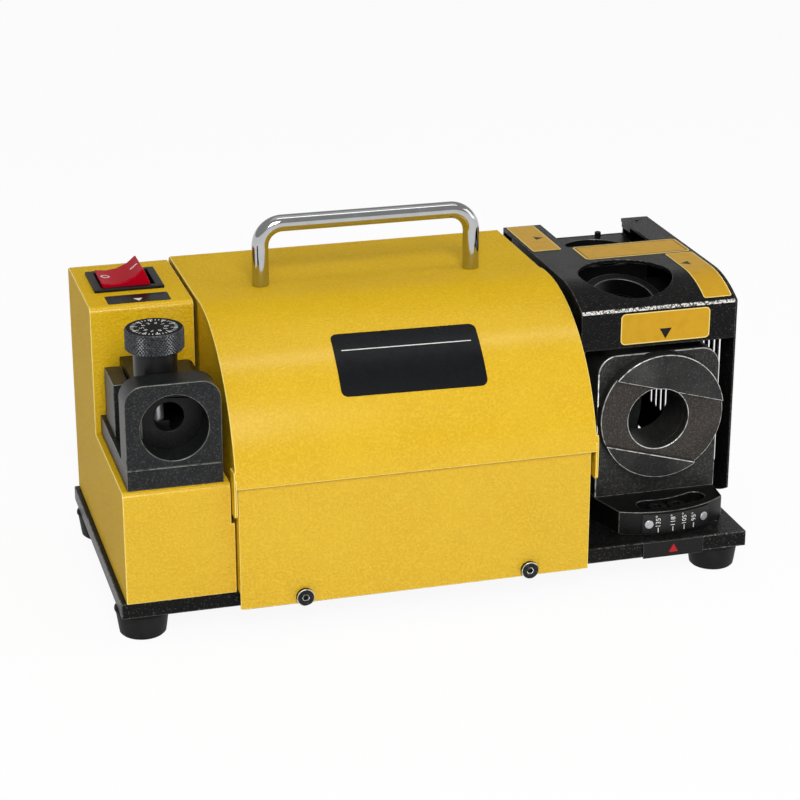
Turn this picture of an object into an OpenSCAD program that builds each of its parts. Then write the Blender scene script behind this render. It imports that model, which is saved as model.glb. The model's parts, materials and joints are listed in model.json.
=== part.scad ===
// Bench drill bit sharpener: a motor under a sheet-metal hood drives a small
// wheel in a grinding head with three holder ports, and a gauge beside it sets
// the drill in its holder.
// X runs to the right, Y to the back and Z up. The origin is on the ground
// under the middle of the machine.

/* [Overall] */
// Length of the base plate
base_l = 321; // [312:1:390]
// Depth from the front of the hood to its back
body_depth = 162.2; // [160:0.1:200]
// Height of the flat top of the hood above the ground
top_z = 145.7; // [144:0.1:176]

/* [Base] */
// Height of a rubber foot
foot_h = 14; // [10:0.5:20]
// Radius of a foot where it meets the plate
foot_r_top = 13.5; // [11:0.5:16]
// Radius of a foot at the ground
foot_r_bottom = 11.4; // [9:0.1:14]
// Thickness of the base plate
plate_t = 8; // [6:0.5:10]

/* [Covers] */
// Thickness of the yellow sheet metal
sheet = 1.5; // [1:0.1:1.6]
// Radius of the hood's curved front
hood_r = 81.3; // [80:0.1:92]
// Width of the switch housing on the left
housing_w = 51.5; // [51:0.5:58]
// Height of the ledge that carries the gauge
ledge_z = 78.7; // [70:0.1:86]
// Width of the grinding head on the right
head_w = 86; // [84:0.5:92]
// Thickness of the black sheet over the grinding head
cover_t = 2; // [1.2:0.1:2.4]
// Diameter of the handle's rod
handle_d = 8.5; // [7:0.1:11]
// Distance between the handle's legs
handle_span = 110; // [90:1:132]
// Height of the handle above the hood
handle_h = 35.8; // [30:0.1:45]

/* [Ports] */
// Radius of the bores that take the drill holder
port_r = 16.25; // [13.6:0.05:18]
// Outer radius of the ring on the point-angle port
ring_r = 33; // [30:0.1:34]
// Radius of the clearance hole over the top port
top_hole_r = 24; // [20:0.5:26]

/* [Drive] */
// Diameter of the motor
motor_d = 84; // [76:0.5:88]
// Length of the motor's tube
motor_tube_l = 88; // [74:1:96]
// Diameter of the grinding wheel
wheel_d = 78; // [70:0.5:80]
// Width of the grinding wheel
wheel_w = 12; // [10:0.5:16]
// Radius of the motor shaft
shaft_r = 6; // [5:0.1:7]

/* [Gauge] */
// Radius of the gauge's knurled knob
knob_r = 14.2; // [12:0.1:17]
// Height of the gauge's knob
knob_h = 10.5; // [8:0.1:13]
// Height of the bored block above the ledge
gauge_h = 51.8; // [51:0.1:60]

/* [Hidden] */
$fn = 72;

// ---- clearances ----
gap = 0.3;        // between pieces that move past each other
run = 0.05;       // radial clearance of a shaft in its bearing or bore
eps = 0.01;       // overshoot of a cut that ends on a face

// ---- screw sizes: shank radius, head radius, head height, socket radius ----
m2 = [1.2, 2.3, 0.9, 0.7];
m3 = [1.6, 3, 1.3, 1.1];
m4 = [2, 3.6, 3, 1.5];
m4_flat = [2, 4, 1.4, 1.5];         // low round head
m5 = [2.5, 4.4, 4, 2];
m6 = [2.5, 4.6, 3, 2];              // head that fits inside a foot

// ---- main places ----
left = -base_l / 2;
right = base_l / 2;
head_shift = 0.4;                   // keeps the screw heads at the front and back equally far out
front = -body_depth / 2 - head_shift;
back = body_depth / 2 - head_shift;
plate_z0 = foot_h;
plate_z1 = foot_h + plate_t;
plate_front = front + 8.2;
plate_back = back - sheet;

// ---- hood ----
hood_x0 = left + housing_w + 3.8;
hood_x1 = right - head_w;
hood_lip = 0.6;                     // the curved front reaches this far past the flat top
kink_y = front + 88.5;              // crease between the curved front and the flat top
hood_cy = front + hood_r - 1;       // centre of the curve
hood_cz = top_z - sqrt(pow(hood_r, 2) - pow(kink_y - hood_cy, 2));
seam_z = hood_cz + 12.9;            // lower hem of the curved front
tab_drop = 15;                      // how far the clip tabs hang below the hem
tab_rise = 8;
tab_y = front + 0.9;
tab_depth = 9;
vent_w = 3;
vent_h = 34;
vent_pitch = 8;
vent_count = 12;
vent_z = 60;
vent_x0 = (hood_x0 + hood_x1) / 2 - (vent_count - 1) / 2 * vent_pitch;
rear_bend_r = 4;
end_wall_x = hood_x0 + 0.8;
sheet_seat = 0.2;                   // a wall behind a sheet reaches this far into it
rear_screw_x = [hood_x0 + 18, (hood_x0 + hood_x1) / 2, hood_x1 - 18];
rear_screw_z = plate_z0 + plate_t / 2;
rear_screw_l = 8;

// ---- lower front panel ----
panel_x0 = hood_x0 + 1.3;
panel_x1 = hood_x1 - 1.8;
panel_y = front + 2;
panel_z0 = plate_z0 + 0.7;
panel_z1 = seam_z + 1.5;
panel_return = 10;
tongue_front = panel_y + sheet;     // the base plate reaches forward behind the panel
panel_screw_x = [panel_x0 + 31.4, panel_x1 - 31.2];
panel_screw_z = plate_z0 + plate_t / 2 + 0.4;
panel_screw = [2, 4.4, 2.6, 1.5];
panel_screw_l = 9;

// ---- feet ----
foot_x = base_l / 2 - 12.2;
foot_front = plate_front + 14.8;
foot_back = plate_back - 16;
foot_flange = 2;
foot_well_r = 5;                    // recess under the foot for its screw's head
foot_well_h = 5;

// ---- left housing ----
housing_x0 = left + 2.6;
housing_x1 = housing_x0 + housing_w;
housing_front = plate_front - 0.9;
housing_back = plate_back;
housing_z0 = plate_z1;
housing_top = top_z - 1.4;
recess_y = front + 87.8;
housing_r = 3;
skirt_z = seam_z - 19.7;            // the front wall is wider below the hood's clip tab
skirt_w = 1.7;

// ---- handle ----
handle_r = handle_d / 2;
handle_bend = 11.3;
handle_x = (hood_x0 + hood_x1) / 2 + 0.3;
handle_y = kink_y + 9.6;
handle_top = top_z + handle_h;
handle_legs = [for (s = [-1, 1]) handle_x + s * handle_span / 2];
handle_screw_l = 13;                // reach of the screw into the leg
handle_washer = [8, 1.2];           // radius and thickness
handle_nut = [4.6, 4];

// ---- grinding head ----
head_x0 = hood_x1 + hood_lip + 3;   // left edge of the black cover
bulkhead_t = 4;
bulkhead_x1 = hood_x1 - 2;
bulkhead_x0 = bulkhead_x1 - bulkhead_t;
bulkhead_foot = 16;                 // depth of the flange that stands on the base plate
lug_l = 9;                          // reach of the lugs under the cover's left wall
lug_d = 14;
lug_z = top_z - 24;
lug_t = 4;
cover_z = top_z + 0.5;
cover_flat_y = front + 66.5;        // where the top starts to curve down
cover_front = front + 35;
cover_r = 60;
cover_apron = 28.8;                 // from the flat top down to the apron's edge
side_t = 1;
side_x1 = right + 0.8;
side_x0 = side_x1 - side_t;
side_z0 = plate_z1 + 6.2;           // lower edge beside the swivelling block
side_low_z0 = plate_z1 + 1.2;       // lower edge behind it
slot_w = 3.2;
slot_pitch = 6.85;
slot_count = 14;
slot_y0 = front + 53.4;
slot_z0 = plate_z1 + 23;
slot_z1 = top_z - 34;
notch_x0 = head_x0 + 21.4;
notch_x1 = right - 14.5;
notch_y = front + 117;
cover_wall_z = top_z - 20;          // lower edge of the cover's left wall
rear_panel_t = 2;
panel_foot = 14;
panel_foot_t = 3;
cover_tab_t = 3;
cover_screw = [m3[0], m3[1], cover_t * 0.6, m3[3]];     // its head is let into the cover
cover_screw_l = 6;
cover_screw_places = [for (x = [head_x0 + 10, right - 8]) [x, plate_back - 7]];

// ---- point-angle station ----
port_z = plate_z1 + 55.3;           // axis of the point-angle port
pivot = [right - 40, front + 71.5];
swivel_r = 55.6;
swivel_t = 12.4;
slide_gap = 0.1;                    // under the swivelling plate and under the heads over it
swivel_z0 = plate_z1 + slide_gap;
swivel_z1 = swivel_z0 + swivel_t;
swivel_left = 24.4;                 // from the pivot to the plate's left end
swivel_right = 34;
block_left = 30.1;                  // from the pivot to the block's sides
block_right = 35.5;
block_front = pivot[1] - 29.5;
block_d = 22.5;
block_back = block_front + block_d;
block_z1 = port_z + 33.7;
block_r = 10;
port_x = pivot[0] + 0.7;
ring_c = [port_x + 2, port_z + 1.4];          // the ring is eccentric to its bore
ring_t = 8;
ring_screw_pcd_r = 25;
ring_screw_grip = 4;                // reach of the screws into the ring
ring_face = block_front - ring_t;
channel_d = 1.8;
channel_tilt = -15.5;
channel_up = 15.5;                  // from the bore's axis to the channel's upper edge
channel_down = 19;
pin_r = 5;
pin_head_r = 6.2;
arc_slot_r = 45.5;
arc_slot_w = 5.8;
arc_head_w = 10.6;
arc_slot_d = 5.2;
clamp_a = [-2, 11];                // degrees from straight ahead to each clamp screw
clamp_screw = [2.5, 4.7, 4, 2.2];
swivel_range = [-14, 6];            // how far the station turns, in degrees
arc_slot_a = [clamp_a[0] - swivel_range[1] - 1.5, clamp_a[1] - swivel_range[0] + 1.5];
swivel_hub_r = 15;
block_bolt_x = [pivot[0] - block_left + 9, pivot[0] + block_right - 9];
block_bolt_y = block_front + block_d / 2;
block_bolt_l = 11;                  // reach of the bolts into the block
block_bolt_well = [4.8, 5];         // radius and depth of the recess for the bolt's head
scale_a = [-14, 25];
scale_t = 1;
scale_screw_a = [-10.5, 21];
scale_z0 = swivel_z0 + 1.2;
scale_z1 = swivel_z1 - 1;
scale_screw_l = 6;
pointer_w = 32.3;
pointer_t = 0.9;

// ---- drive ----
axis_y = pivot[1] + 42.5;
axis_z = port_z - 1.3;
motor_r = motor_d / 2;
motor_wall = 4;
bell_l = 18;
motor_x1 = bulkhead_x0 - bell_l;
motor_x0 = motor_x1 - motor_tube_l;
bearing_r = 16;
bearing_w = 10;
front_bearing_x = motor_x1 + 4;
rear_bearing_x = motor_x0 - 4 - bearing_w;
stator_l = 54;
stator_x0 = motor_x0 + 17;
rotor_r = 21.7;
stator_bore = rotor_r + 0.4;
coil_l = 9;
spigot_r = 20;                      // boss of the front bell through the bulkhead
tie_r = motor_r - 9;
motor_bolt_r = 30;                  // pitch circle of the bolts through the bulkhead
motor_bolt_l = 10;
tie_grip = 7.5;                     // reach of the tie bolts into the front bell
fan_r = 34;
fan_l = 12;
fan_x1 = motor_x0 - bell_l - 5;
fan_blades = 9;
fan_hub_r = 13;
shaft_x0 = fan_x1 - fan_l - 2;
wheel_x1 = pivot[0] + 7;            // right face of the wheel
wheel_x0 = wheel_x1 - wheel_w;
wheel_r = wheel_d / 2;
arbor_r = 6.35;
arbor_flange = [17, 4];             // radius and thickness
arbor_hub = [11, 16];
arbor_thread_r = 4;
shaft_x1 = wheel_x0 - arbor_flange[1];
rim_t = 5;
wheel_shoulder = 3;

// ---- ports ----
top_hole = [pivot[0] - 8.5, pivot[1] - 6];
top_tilt = 20;                      // degrees of the top port from upright
top_port_c = [top_hole[0], pivot[1] - 3, cover_z - 16.8];
bridge_s = [-30, 19];               // reach of the sloping bridge along its slope
bridge_t = 5;
boss_r = 21;
boss_up = 3;                        // the boss stands above the bridge and below it
boss_down = 2;
rear_port = [pivot[0] + 1.5, pivot[1] + 62.5];
rear_block_z1 = cover_z - 8.2;
rear_block_t = 20;
rear_rim = [port_r + 3, 4];         // radius and depth of the recess round the bore
rear_block_bolt_x = [notch_x0 + 9, notch_x1 - 9];
rear_block_bolt_z = rear_block_z1 - 10;
rear_block_bolt_l = 8;
index_pin = [rear_port[0] + 8.5, plate_back - rear_panel_t - 4];
index_pin_l = 6;
index_pin_size = [1.5, 1.7, 3.4, 0.8];
panel_bolt_x = [bulkhead_x1 + 14, right - 14];
panel_bolt_y = plate_back - rear_panel_t - 8;
bulkhead_bolt_x = bulkhead_x0 - 10;
bulkhead_bolt_y = [axis_y - 58, axis_y + 26];

// ---- gauge ----
gauge_x0 = housing_x0 + 2.9;
gauge_x1 = gauge_x0 + 46;
gauge_front = housing_front + 2.7;
gauge_back = recess_y - 0.3;
gauge_block_d = 15.3;
gauge_base_t = 10.3;
gauge_z1 = ledge_z + gauge_h;
gauge_r = 9.5;
gauge_bore = [gauge_x0 + 23.5, ledge_z + 29.7];
gauge_body_x0 = gauge_x0 + 10.7;
gauge_body_x1 = gauge_x1 - 1;
gauge_body_back = gauge_back - 15;
gauge_body_z1 = gauge_z1 - 11;
gauge_tail = [gauge_x0 + 22, gauge_body_z1 - 0.8];      // right side and top of the body's rear part
gauge_stud_l = 5;                   // reach of the screws into what stands on the base
gauge_bolt_x = [gauge_x0 + 7, gauge_x1 - 7];
gauge_bolt_y = [gauge_front + 8, gauge_back - 22];
side_plate_x = [gauge_x0 + 2, gauge_x0 + 10];
side_plate_y = [gauge_back - 33, gauge_back - 6];
side_plate_z1 = gauge_z1 - 14.5;
drill_r = 7.2;
drill_end = 3;                      // the wall that closes the drill's hole at the back
knob_c = [gauge_x0 + 20.1, gauge_front + 27.2];
collar_r = 10.5;
collar_z1 = gauge_z1 + 8.3;
knob_z0 = collar_z1 + gap;
knob_chamfer = 0.8;
knob_grip = 5;                      // reach of the spindle into the knob
spindle_r = 3;
stop_w = 10;
stop_h = 11;
stop_z0 = ledge_z + gauge_base_t + 4;
stop_travel = 2;
bracket_front = gauge_front + 1;
bracket_t = 3;
bracket_foot = 18;
bracket_bolt_x = [gauge_x0 + 22, gauge_x1 - 7];

// ---- switch ----
switch_c = [housing_x0 + 23.9, recess_y + 39.7];
bezel_l = 35.2;
bezel_d = 32.5;
bezel_t = 1.7;
well_l = 27.4;
well_d = 25.4;
rocker_d = 24.8;
switch_wall = 1.6;
switch_depth = 26;
well_h = 13;
terminal = [0.8, 6.4, 11];
bezel_z1 = housing_top + bezel_t;
rocker_z = housing_top - 2.9;       // pivot of the rocker
rocker_tilt = 16;
trunnion_r = 1.6;

// ---- mains inlet ----
inlet_c = [housing_x0 + 26, plate_z1 + 40];
inlet_w = 27;
inlet_h = 20;
inlet_depth = 22;
inlet_flange = [50, 23, 1.4];
inlet_pitch = 40;
inlet_clear = 0.2;
inlet_screw_l = 6;
inlet_angle = [18, 14, 2, 16];      // width, foot, thickness and height of the angle behind the inlet
inlet_angle_y = housing_back - sheet - 8;
inlet_angle_z = plate_z1 + 9;
bracket_bolts = [for (x = bracket_bolt_x) [x, bracket_front + 12], [inlet_c[0], inlet_angle_y]];
cap_r = 17;
cap_l = 60;
cap_c = [housing_x0 + 22, recess_y + 32];

// ---- shape helpers ----
// Extrudes a (y, z) outline along X.
module prism_x(x0, x1) translate([x0, 0, 0]) rotate([90, 0, 90]) linear_extrude(x1 - x0) children();
// Extrudes an (x, z) outline along Y.
module prism_y(y0, y1) translate([0, y1, 0]) rotate([90, 0, 0]) linear_extrude(y1 - y0) children();
// Extrudes an (x, y) outline along Z.
module prism_z(z0, z1) translate([0, 0, z0]) linear_extrude(z1 - z0) children();
module rod_x(x0, x1, y, z, r) translate([x0, y, z]) rotate([0, 90, 0]) cylinder(h = x1 - x0, r = r);
module rod_y(y0, y1, x, z, r) translate([x, y1, z]) rotate([90, 0, 0]) cylinder(h = y1 - y0, r = r);
module rod_z(z0, z1, x, y, r) translate([x, y, z0]) cylinder(h = z1 - z0, r = r);
module box(a, b) translate(a) cube(b - a);
// A box centred on x and y that stands on z = 0.
module block(x, y, z) translate([-x / 2, -y / 2, 0]) cube([x, y, z]);
// A rectangle from p to q.
module rect(p, q) translate(p) square(q - p);
// What rounding one corner of an outline takes away; s is the way the corner points.
module corner(p, s, r) translate([p[0] - s[0] * r, p[1] - s[1] * r]) difference() {
    translate([s[0] > 0 ? 0 : -r - 1, s[1] > 0 ? 0 : -r - 1]) square(r + 1);
    circle(r);
}
// A screw of one of the sizes above: its shank and head run along +Z from the shank's tip.
module screw(size, shank_l, sides = 6) difference() {
    union() {
        cylinder(h = shank_l, r = size[0]);
        translate([0, 0, shank_l]) cylinder(h = size[2], r = size[1]);
    }
    translate([0, 0, shank_l + size[2] * 0.45]) cylinder(h = size[2], r = size[3], $fn = sides);
}
// A screw along Y whose head seats at y, on the front or on the back of a sheet.
module screw_from_front(x, y, z, size, shank_l)
    translate([x, y + shank_l, z]) rotate([90, 0, 0]) screw(size, shank_l);
module screw_from_back(x, y, z, size, shank_l)
    translate([x, y - shank_l, z]) rotate([-90, 0, 0]) screw(size, shank_l);
function around(a, r) = [pivot[0] + r * sin(a), pivot[1] - r * cos(a)];

// ---- base ----
// In this file a cut runs 1 mm past a face that it opens.
module foot_places() for (x = [-foot_x, foot_x], y = [foot_front, foot_back]) translate([x, y, 0]) children();
module plate_hole(x, y, r) rod_z(plate_z0 - 1, plate_z1 + 1, x, y, r);

module base_plate() color([0.12, 0.12, 0.13]) difference() {
    prism_z(plate_z0, plate_z1) union() {
        rect([left, plate_front], [right, plate_back]);
        rect([panel_x0 + 2, tongue_front], [panel_x1 - 2, plate_front + 1]);
    }
    for (x = [-foot_x, foot_x], y = [foot_front, foot_back]) plate_hole(x, y, m6[0]);
    for (x = panel_screw_x)
        rod_y(tongue_front - 1, tongue_front + panel_screw_l, x, panel_screw_z, panel_screw[0]);
    for (x = rear_screw_x) rod_y(plate_back - rear_screw_l - 1, plate_back + 1, x, rear_screw_z, m4_flat[0]);
    for (y = bulkhead_bolt_y) plate_hole(bulkhead_bolt_x, y, m5[0]);
    for (x = panel_bolt_x) plate_hole(x, panel_bolt_y, m5[0]);
    plate_hole(pivot[0], pivot[1], pin_r);
    for (a = clamp_a) plate_hole(around(a, arc_slot_r)[0], around(a, arc_slot_r)[1], m5[0]);
    for (p = bracket_bolts) plate_hole(p[0], p[1], m4[0]);
}

module feet() color([0.14, 0.14, 0.15]) foot_places() rotate_extrude() difference() {
    polygon([[0, 0], [foot_r_bottom - 1, 0], [foot_r_bottom, 1], [foot_r_top - 0.6, foot_h - foot_flange],
        [foot_r_top, foot_h - foot_flange], [foot_r_top, foot_h], [0, foot_h]]);
    rect([-1, -1], [m6[0], foot_h + 1]);
    rect([-1, -1], [foot_well_r, foot_well_h]);
}

module foot_screws() color("silver") foot_places() translate([0, 0, plate_z1]) rotate([180, 0, 0])
    screw(m6, plate_t + foot_h - foot_well_h);

module pointer_plate() color([0.16, 0.16, 0.17])
    box([pivot[0] - pointer_w / 2, plate_front - pointer_t, plate_z0 - 0.5],
        [pivot[0] + pointer_w / 2, plate_front, plate_z1]);

// ---- left housing ----
module housing_area(i) difference() {
    union() {
        rect([housing_front + i, housing_z0 - (i > 0 ? 1 : 0)], [housing_back - i, ledge_z - i]);
        rect([recess_y + i, ledge_z - i - 1], [housing_back - i, housing_top - i]);
    }
    corner([housing_front + i, ledge_z - i], [-1, 1], housing_r - i);
    corner([recess_y + i, housing_top - i], [-1, 1], housing_r - i);
    corner([housing_back - i, housing_top - i], [1, 1], housing_r - i);
}

module left_housing() color([0.89, 0.72, 0.18]) difference() {
    union() {
        difference() {
            prism_x(housing_x0, housing_x1) housing_area(0);
            prism_x(housing_x0 + sheet, housing_x1 + 1) housing_area(sheet);
        }
        box([housing_x1 - 1, housing_front, housing_z0], [housing_x1 + skirt_w, housing_front + sheet, skirt_z]);
    }
    translate([switch_c[0], switch_c[1], housing_top - sheet - 1])
        block(well_l + 2 * (switch_wall + sheet_seat), well_d + 2 * (switch_wall + sheet_seat), sheet + 2);
    box([inlet_c[0] - inlet_w / 2, housing_back - sheet - 1, inlet_c[1] - inlet_h / 2],
        [inlet_c[0] + inlet_w / 2, housing_back + 1, inlet_c[1] + inlet_h / 2]);
    for (s = [-1, 1]) rod_y(housing_back - sheet - 1, housing_back + 1,
        inlet_c[0] + s * inlet_pitch / 2, inlet_c[1], m3[0]);
    for (x = gauge_bolt_x, y = gauge_bolt_y) rod_z(ledge_z - sheet - 1, ledge_z + 1, x, y, m4[0] + sheet_seat);
    rod_y(housing_back - sheet - 1, housing_back + 1, inlet_c[0], inlet_angle_z, m4[0]);
}

// A bracket under the ledge and an angle behind the inlet.
module inner_brackets() color("silver") {
    difference() {
        union() {
            box([gauge_x0 + 1, bracket_front, ledge_z - sheet - bracket_t],
                [gauge_x1 - 1, gauge_back, ledge_z - sheet]);
            box([gauge_x0 + 1, bracket_front, plate_z1], [gauge_x1 - 1, bracket_front + bracket_t, ledge_z - sheet]);
            box([gauge_x0 + 1, bracket_front, plate_z1],
                [gauge_x1 - 1, bracket_front + bracket_foot, plate_z1 + bracket_t]);
        }
        for (x = gauge_bolt_x, y = gauge_bolt_y)
            rod_z(ledge_z - sheet - bracket_t - 1, ledge_z, x, y, m4[0] + sheet_seat);
        for (i = [0, 1])
            rod_z(plate_z1 - 1, plate_z1 + bracket_t + 1, bracket_bolts[i][0], bracket_bolts[i][1], m4[0]);
    }
    difference() {
        translate([inlet_c[0] - inlet_angle[0] / 2, housing_back - sheet, plate_z1]) union() {
            box([0, -inlet_angle[1], 0], [inlet_angle[0], 0, inlet_angle[2]]);
            box([0, -inlet_angle[2], 0], [inlet_angle[0], 0, inlet_angle[3]]);
        }
        rod_z(plate_z1 - 1, plate_z1 + inlet_angle[2] + 1, inlet_c[0], inlet_angle_y, m4[0]);
        rod_y(housing_back - sheet - inlet_angle[2] - 1, housing_back, inlet_c[0], inlet_angle_z, m4[0]);
    }
}

// Screws that hold the hood and the housing at the back, and the brackets to the plate.
module rear_screws() color([0.15, 0.15, 0.16]) {
    for (x = rear_screw_x) screw_from_back(x, back, rear_screw_z, m4_flat, sheet + rear_screw_l);
    screw_from_back(inlet_c[0], housing_back, inlet_angle_z, m4_flat, 5);
    for (i = [0 : 2]) translate([bracket_bolts[i][0], bracket_bolts[i][1], plate_z0])
        screw(m4, plate_t + (i < 2 ? bracket_t : inlet_angle[2]));
}

// ---- hood ----
// The hood's cross-section, filled, and shrunk by i.
module hood_area(i) union() {
    translate([hood_cy, hood_cz]) circle(hood_r - i);
    difference() {
        rect([kink_y, 0], [back - i, top_z - i]);
        corner([back - i, top_z - i], [1, 1], rear_bend_r - i);
    }
}

module hood_section() intersection() {
    difference() {
        hood_area(0);
        hood_area(sheet);
    }
    union() {
        rect([front - 1, seam_z], [back + 1, top_z + 9]);
        rect([kink_y, plate_z0], [back + 1, top_z + 9]);
    }
}

module hood() color([0.9, 0.73, 0.19]) difference() {
    union() {
        prism_x(hood_x0, hood_x1) hood_section();
        prism_x(hood_x1 - 1, hood_x1 + hood_lip) intersection() {
            hood_section();
            rect([front - 1, seam_z - 1], [kink_y, top_z + 9]);
        }
        prism_x(end_wall_x, end_wall_x + sheet) intersection() {
            hood_area(sheet - sheet_seat);
            union() {
                rect([panel_y + panel_return + gap, plate_z1 + gap], [back, top_z + 9]);
                rect([front, panel_z1 + gap], [back, top_z + 9]);
            }
        }
        for (x = [hood_x0 - 0.7, hood_x1 + 0.3]) prism_x(x, x + sheet) intersection() {
            difference() {
                rect([tab_y, seam_z - tab_drop], [tab_y + tab_depth, seam_z + tab_rise]);
                corner([tab_y, seam_z - tab_drop], [-1, -1], 2);
            }
            hood_area(0);
        }
    }
    for (x = handle_legs) rod_z(top_z - sheet - 1, top_z + 1, x, handle_y, m5[0] + sheet_seat);
    for (x = rear_screw_x) rod_y(back - sheet - 1, back + 1, x, rear_screw_z, m4_flat[0]);
    for (i = [0 : vent_count - 1]) translate([vent_x0 + i * vent_pitch, 0, 0]) {
        box([-vent_w / 2, back - sheet - 1, vent_z], [vent_w / 2, back + 1, vent_z + vent_h]);
        for (z = [vent_z, vent_z + vent_h]) rod_y(back - sheet - 1, back + 1, 0, z, vent_w / 2);
    }
}

module lower_front_panel() color([0.88, 0.71, 0.18]) difference() {
    union() {
        box([panel_x0, panel_y, panel_z0], [panel_x1, panel_y + sheet, panel_z1]);
        for (x = [panel_x0, panel_x1 - sheet])
            box([x, panel_y, plate_z1 + gap], [x + sheet, panel_y + panel_return, seam_z - 3]);
    }
    for (x = panel_screw_x) rod_y(panel_y - 1, panel_y + sheet + 1, x, panel_screw_z, panel_screw[0]);
}

module panel_screws() color([0.08, 0.08, 0.08]) for (x = panel_screw_x)
    screw_from_front(x, panel_y, panel_screw_z, panel_screw, sheet + panel_screw_l);

// ---- handle ----
module handle() color([0.85, 0.86, 0.88]) difference() {
    union() {
        for (s = [-1, 1]) translate([handle_x + s * handle_span / 2, handle_y, top_z])
            cylinder(h = handle_h - handle_bend - handle_r, r = handle_r);
        for (s = [-1, 1]) translate([handle_x + s * (handle_span / 2 - handle_bend), handle_y,
            handle_top - handle_bend - handle_r]) rotate([90, 0, 0]) mirror([s < 0 ? 1 : 0, 0, 0])
            rotate_extrude(angle = 90) translate([handle_bend, 0]) circle(handle_r);
        rod_x(handle_x - handle_span / 2 + handle_bend, handle_x + handle_span / 2 - handle_bend,
            handle_y, handle_top - handle_r, handle_r);
    }
    for (x = handle_legs) rod_z(top_z - 1, top_z + handle_screw_l + 1, x, handle_y, m5[0]);
}

// A stud into each leg, with a washer and a nut under the hood's top.
module handle_screws() color("silver") for (x = handle_legs)
    translate([x, handle_y, top_z + handle_screw_l]) rotate([180, 0, 0]) {
        cylinder(h = handle_screw_l + sheet + eps, r = m5[0]);
        translate([0, 0, handle_screw_l + sheet]) cylinder(h = handle_washer[1], r = handle_washer[0]);
        translate([0, 0, handle_screw_l + sheet + handle_washer[1]])
            cylinder(h = handle_nut[1], r = handle_nut[0], $fn = 6);
    }

// ---- grinding head frame ----
module motor_bolt_places(x) for (a = [45 : 90 : 315])
    translate([x, axis_y + motor_bolt_r * cos(a), axis_z + motor_bolt_r * sin(a)]) rotate([0, 90, 0]) children();

// The plate that carries the motor and closes the hood's right end.
module bulkhead() color([0.13, 0.13, 0.14]) difference() {
    union() {
        prism_x(bulkhead_x0, bulkhead_x1) intersection() {
            hood_area(sheet + 0.5);
            rect([panel_y + 14, plate_z1], [back - 10, top_z]);
        }
        box([bulkhead_x0 - bulkhead_foot, bulkhead_bolt_y[0] - 8, plate_z1],
            [bulkhead_x0 + 1, bulkhead_bolt_y[1] + 8, plate_z1 + bulkhead_t]);
        for (y = [axis_y - 62, axis_y + 26])
            box([bulkhead_x1 - 1, y, lug_z], [head_x0 + lug_l, y + lug_d, lug_z + lug_t]);
    }
    rod_x(bulkhead_x0 - 1, bulkhead_x1 + 1, axis_y, axis_z, spigot_r);
    motor_bolt_places(bulkhead_x0 - 1) cylinder(h = bulkhead_t + 2, r = m5[0]);
    for (y = bulkhead_bolt_y) rod_z(plate_z1 - 1, plate_z1 + bulkhead_t + 1, bulkhead_bolt_x, y, m5[0]);
}

module bulkhead_bolts() color("silver") {
    for (y = bulkhead_bolt_y) translate([bulkhead_bolt_x, y, plate_z0]) screw(m5, plate_t + bulkhead_t);
    motor_bolt_places(bulkhead_x0 - motor_bolt_l) screw(m5, motor_bolt_l + bulkhead_t);
}

// ---- grinding head covers ----
module cover_area(i) union() {
    rect([cover_flat_y, plate_z1], [plate_back - (i > 0 ? -1 : 0), cover_z - i]);
    intersection() {
        translate([cover_flat_y, cover_z - cover_r]) circle(cover_r - i);
        rect([cover_front + i, plate_z1], [cover_flat_y + 1, cover_z + 1]);
    }
}

module head_cover() color([0.1, 0.1, 0.11]) difference() {
    union() {
        prism_x(head_x0, side_x0) intersection() {
            difference() {
                cover_area(0);
                cover_area(cover_t);
            }
            rect([front, cover_z - cover_apron], [back, cover_z + 1]);
        }
        // left wall that stands on the bulkhead's lugs
        prism_x(head_x0, head_x0 + cover_t) intersection() {
            cover_area(cover_t - sheet_seat);
            rect([cover_front, cover_wall_z], [plate_back - 15, cover_z]);
        }
    }
    rod_z(cover_z - 12, cover_z + 1, top_hole[0], top_hole[1], top_hole_r);
    box([notch_x0, notch_y, cover_z - cover_t - 1], [notch_x1, back + 1, cover_z + 1]);
    for (p = cover_screw_places) {
        rod_z(cover_z - cover_t - 1, cover_z + 1, p[0], p[1], cover_screw[0]);
        rod_z(cover_z - cover_screw[2], cover_z + 1, p[0], p[1], cover_screw[1]);
    }
}

// Sheet on the right with a row of cooling slots.
module side_plate() color([0.09, 0.09, 0.1]) difference() {
    prism_x(side_x0, side_x1) intersection() {
        cover_area(0);
        union() {
            rect([front, side_z0], [back, cover_z + 1]);
            rect([block_back + 10, side_low_z0], [back, side_z0 + 1]);
        }
    }
    for (i = [0 : slot_count - 1]) translate([0, slot_y0 + i * slot_pitch, 0]) {
        box([side_x0 - 1, -slot_w / 2, slot_z0], [side_x1 + 1, slot_w / 2, slot_z1]);
        for (z = [slot_z0, slot_z1]) rod_x(side_x0 - 1, side_x1 + 1, 0, z, slot_w / 2);
    }
}

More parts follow.
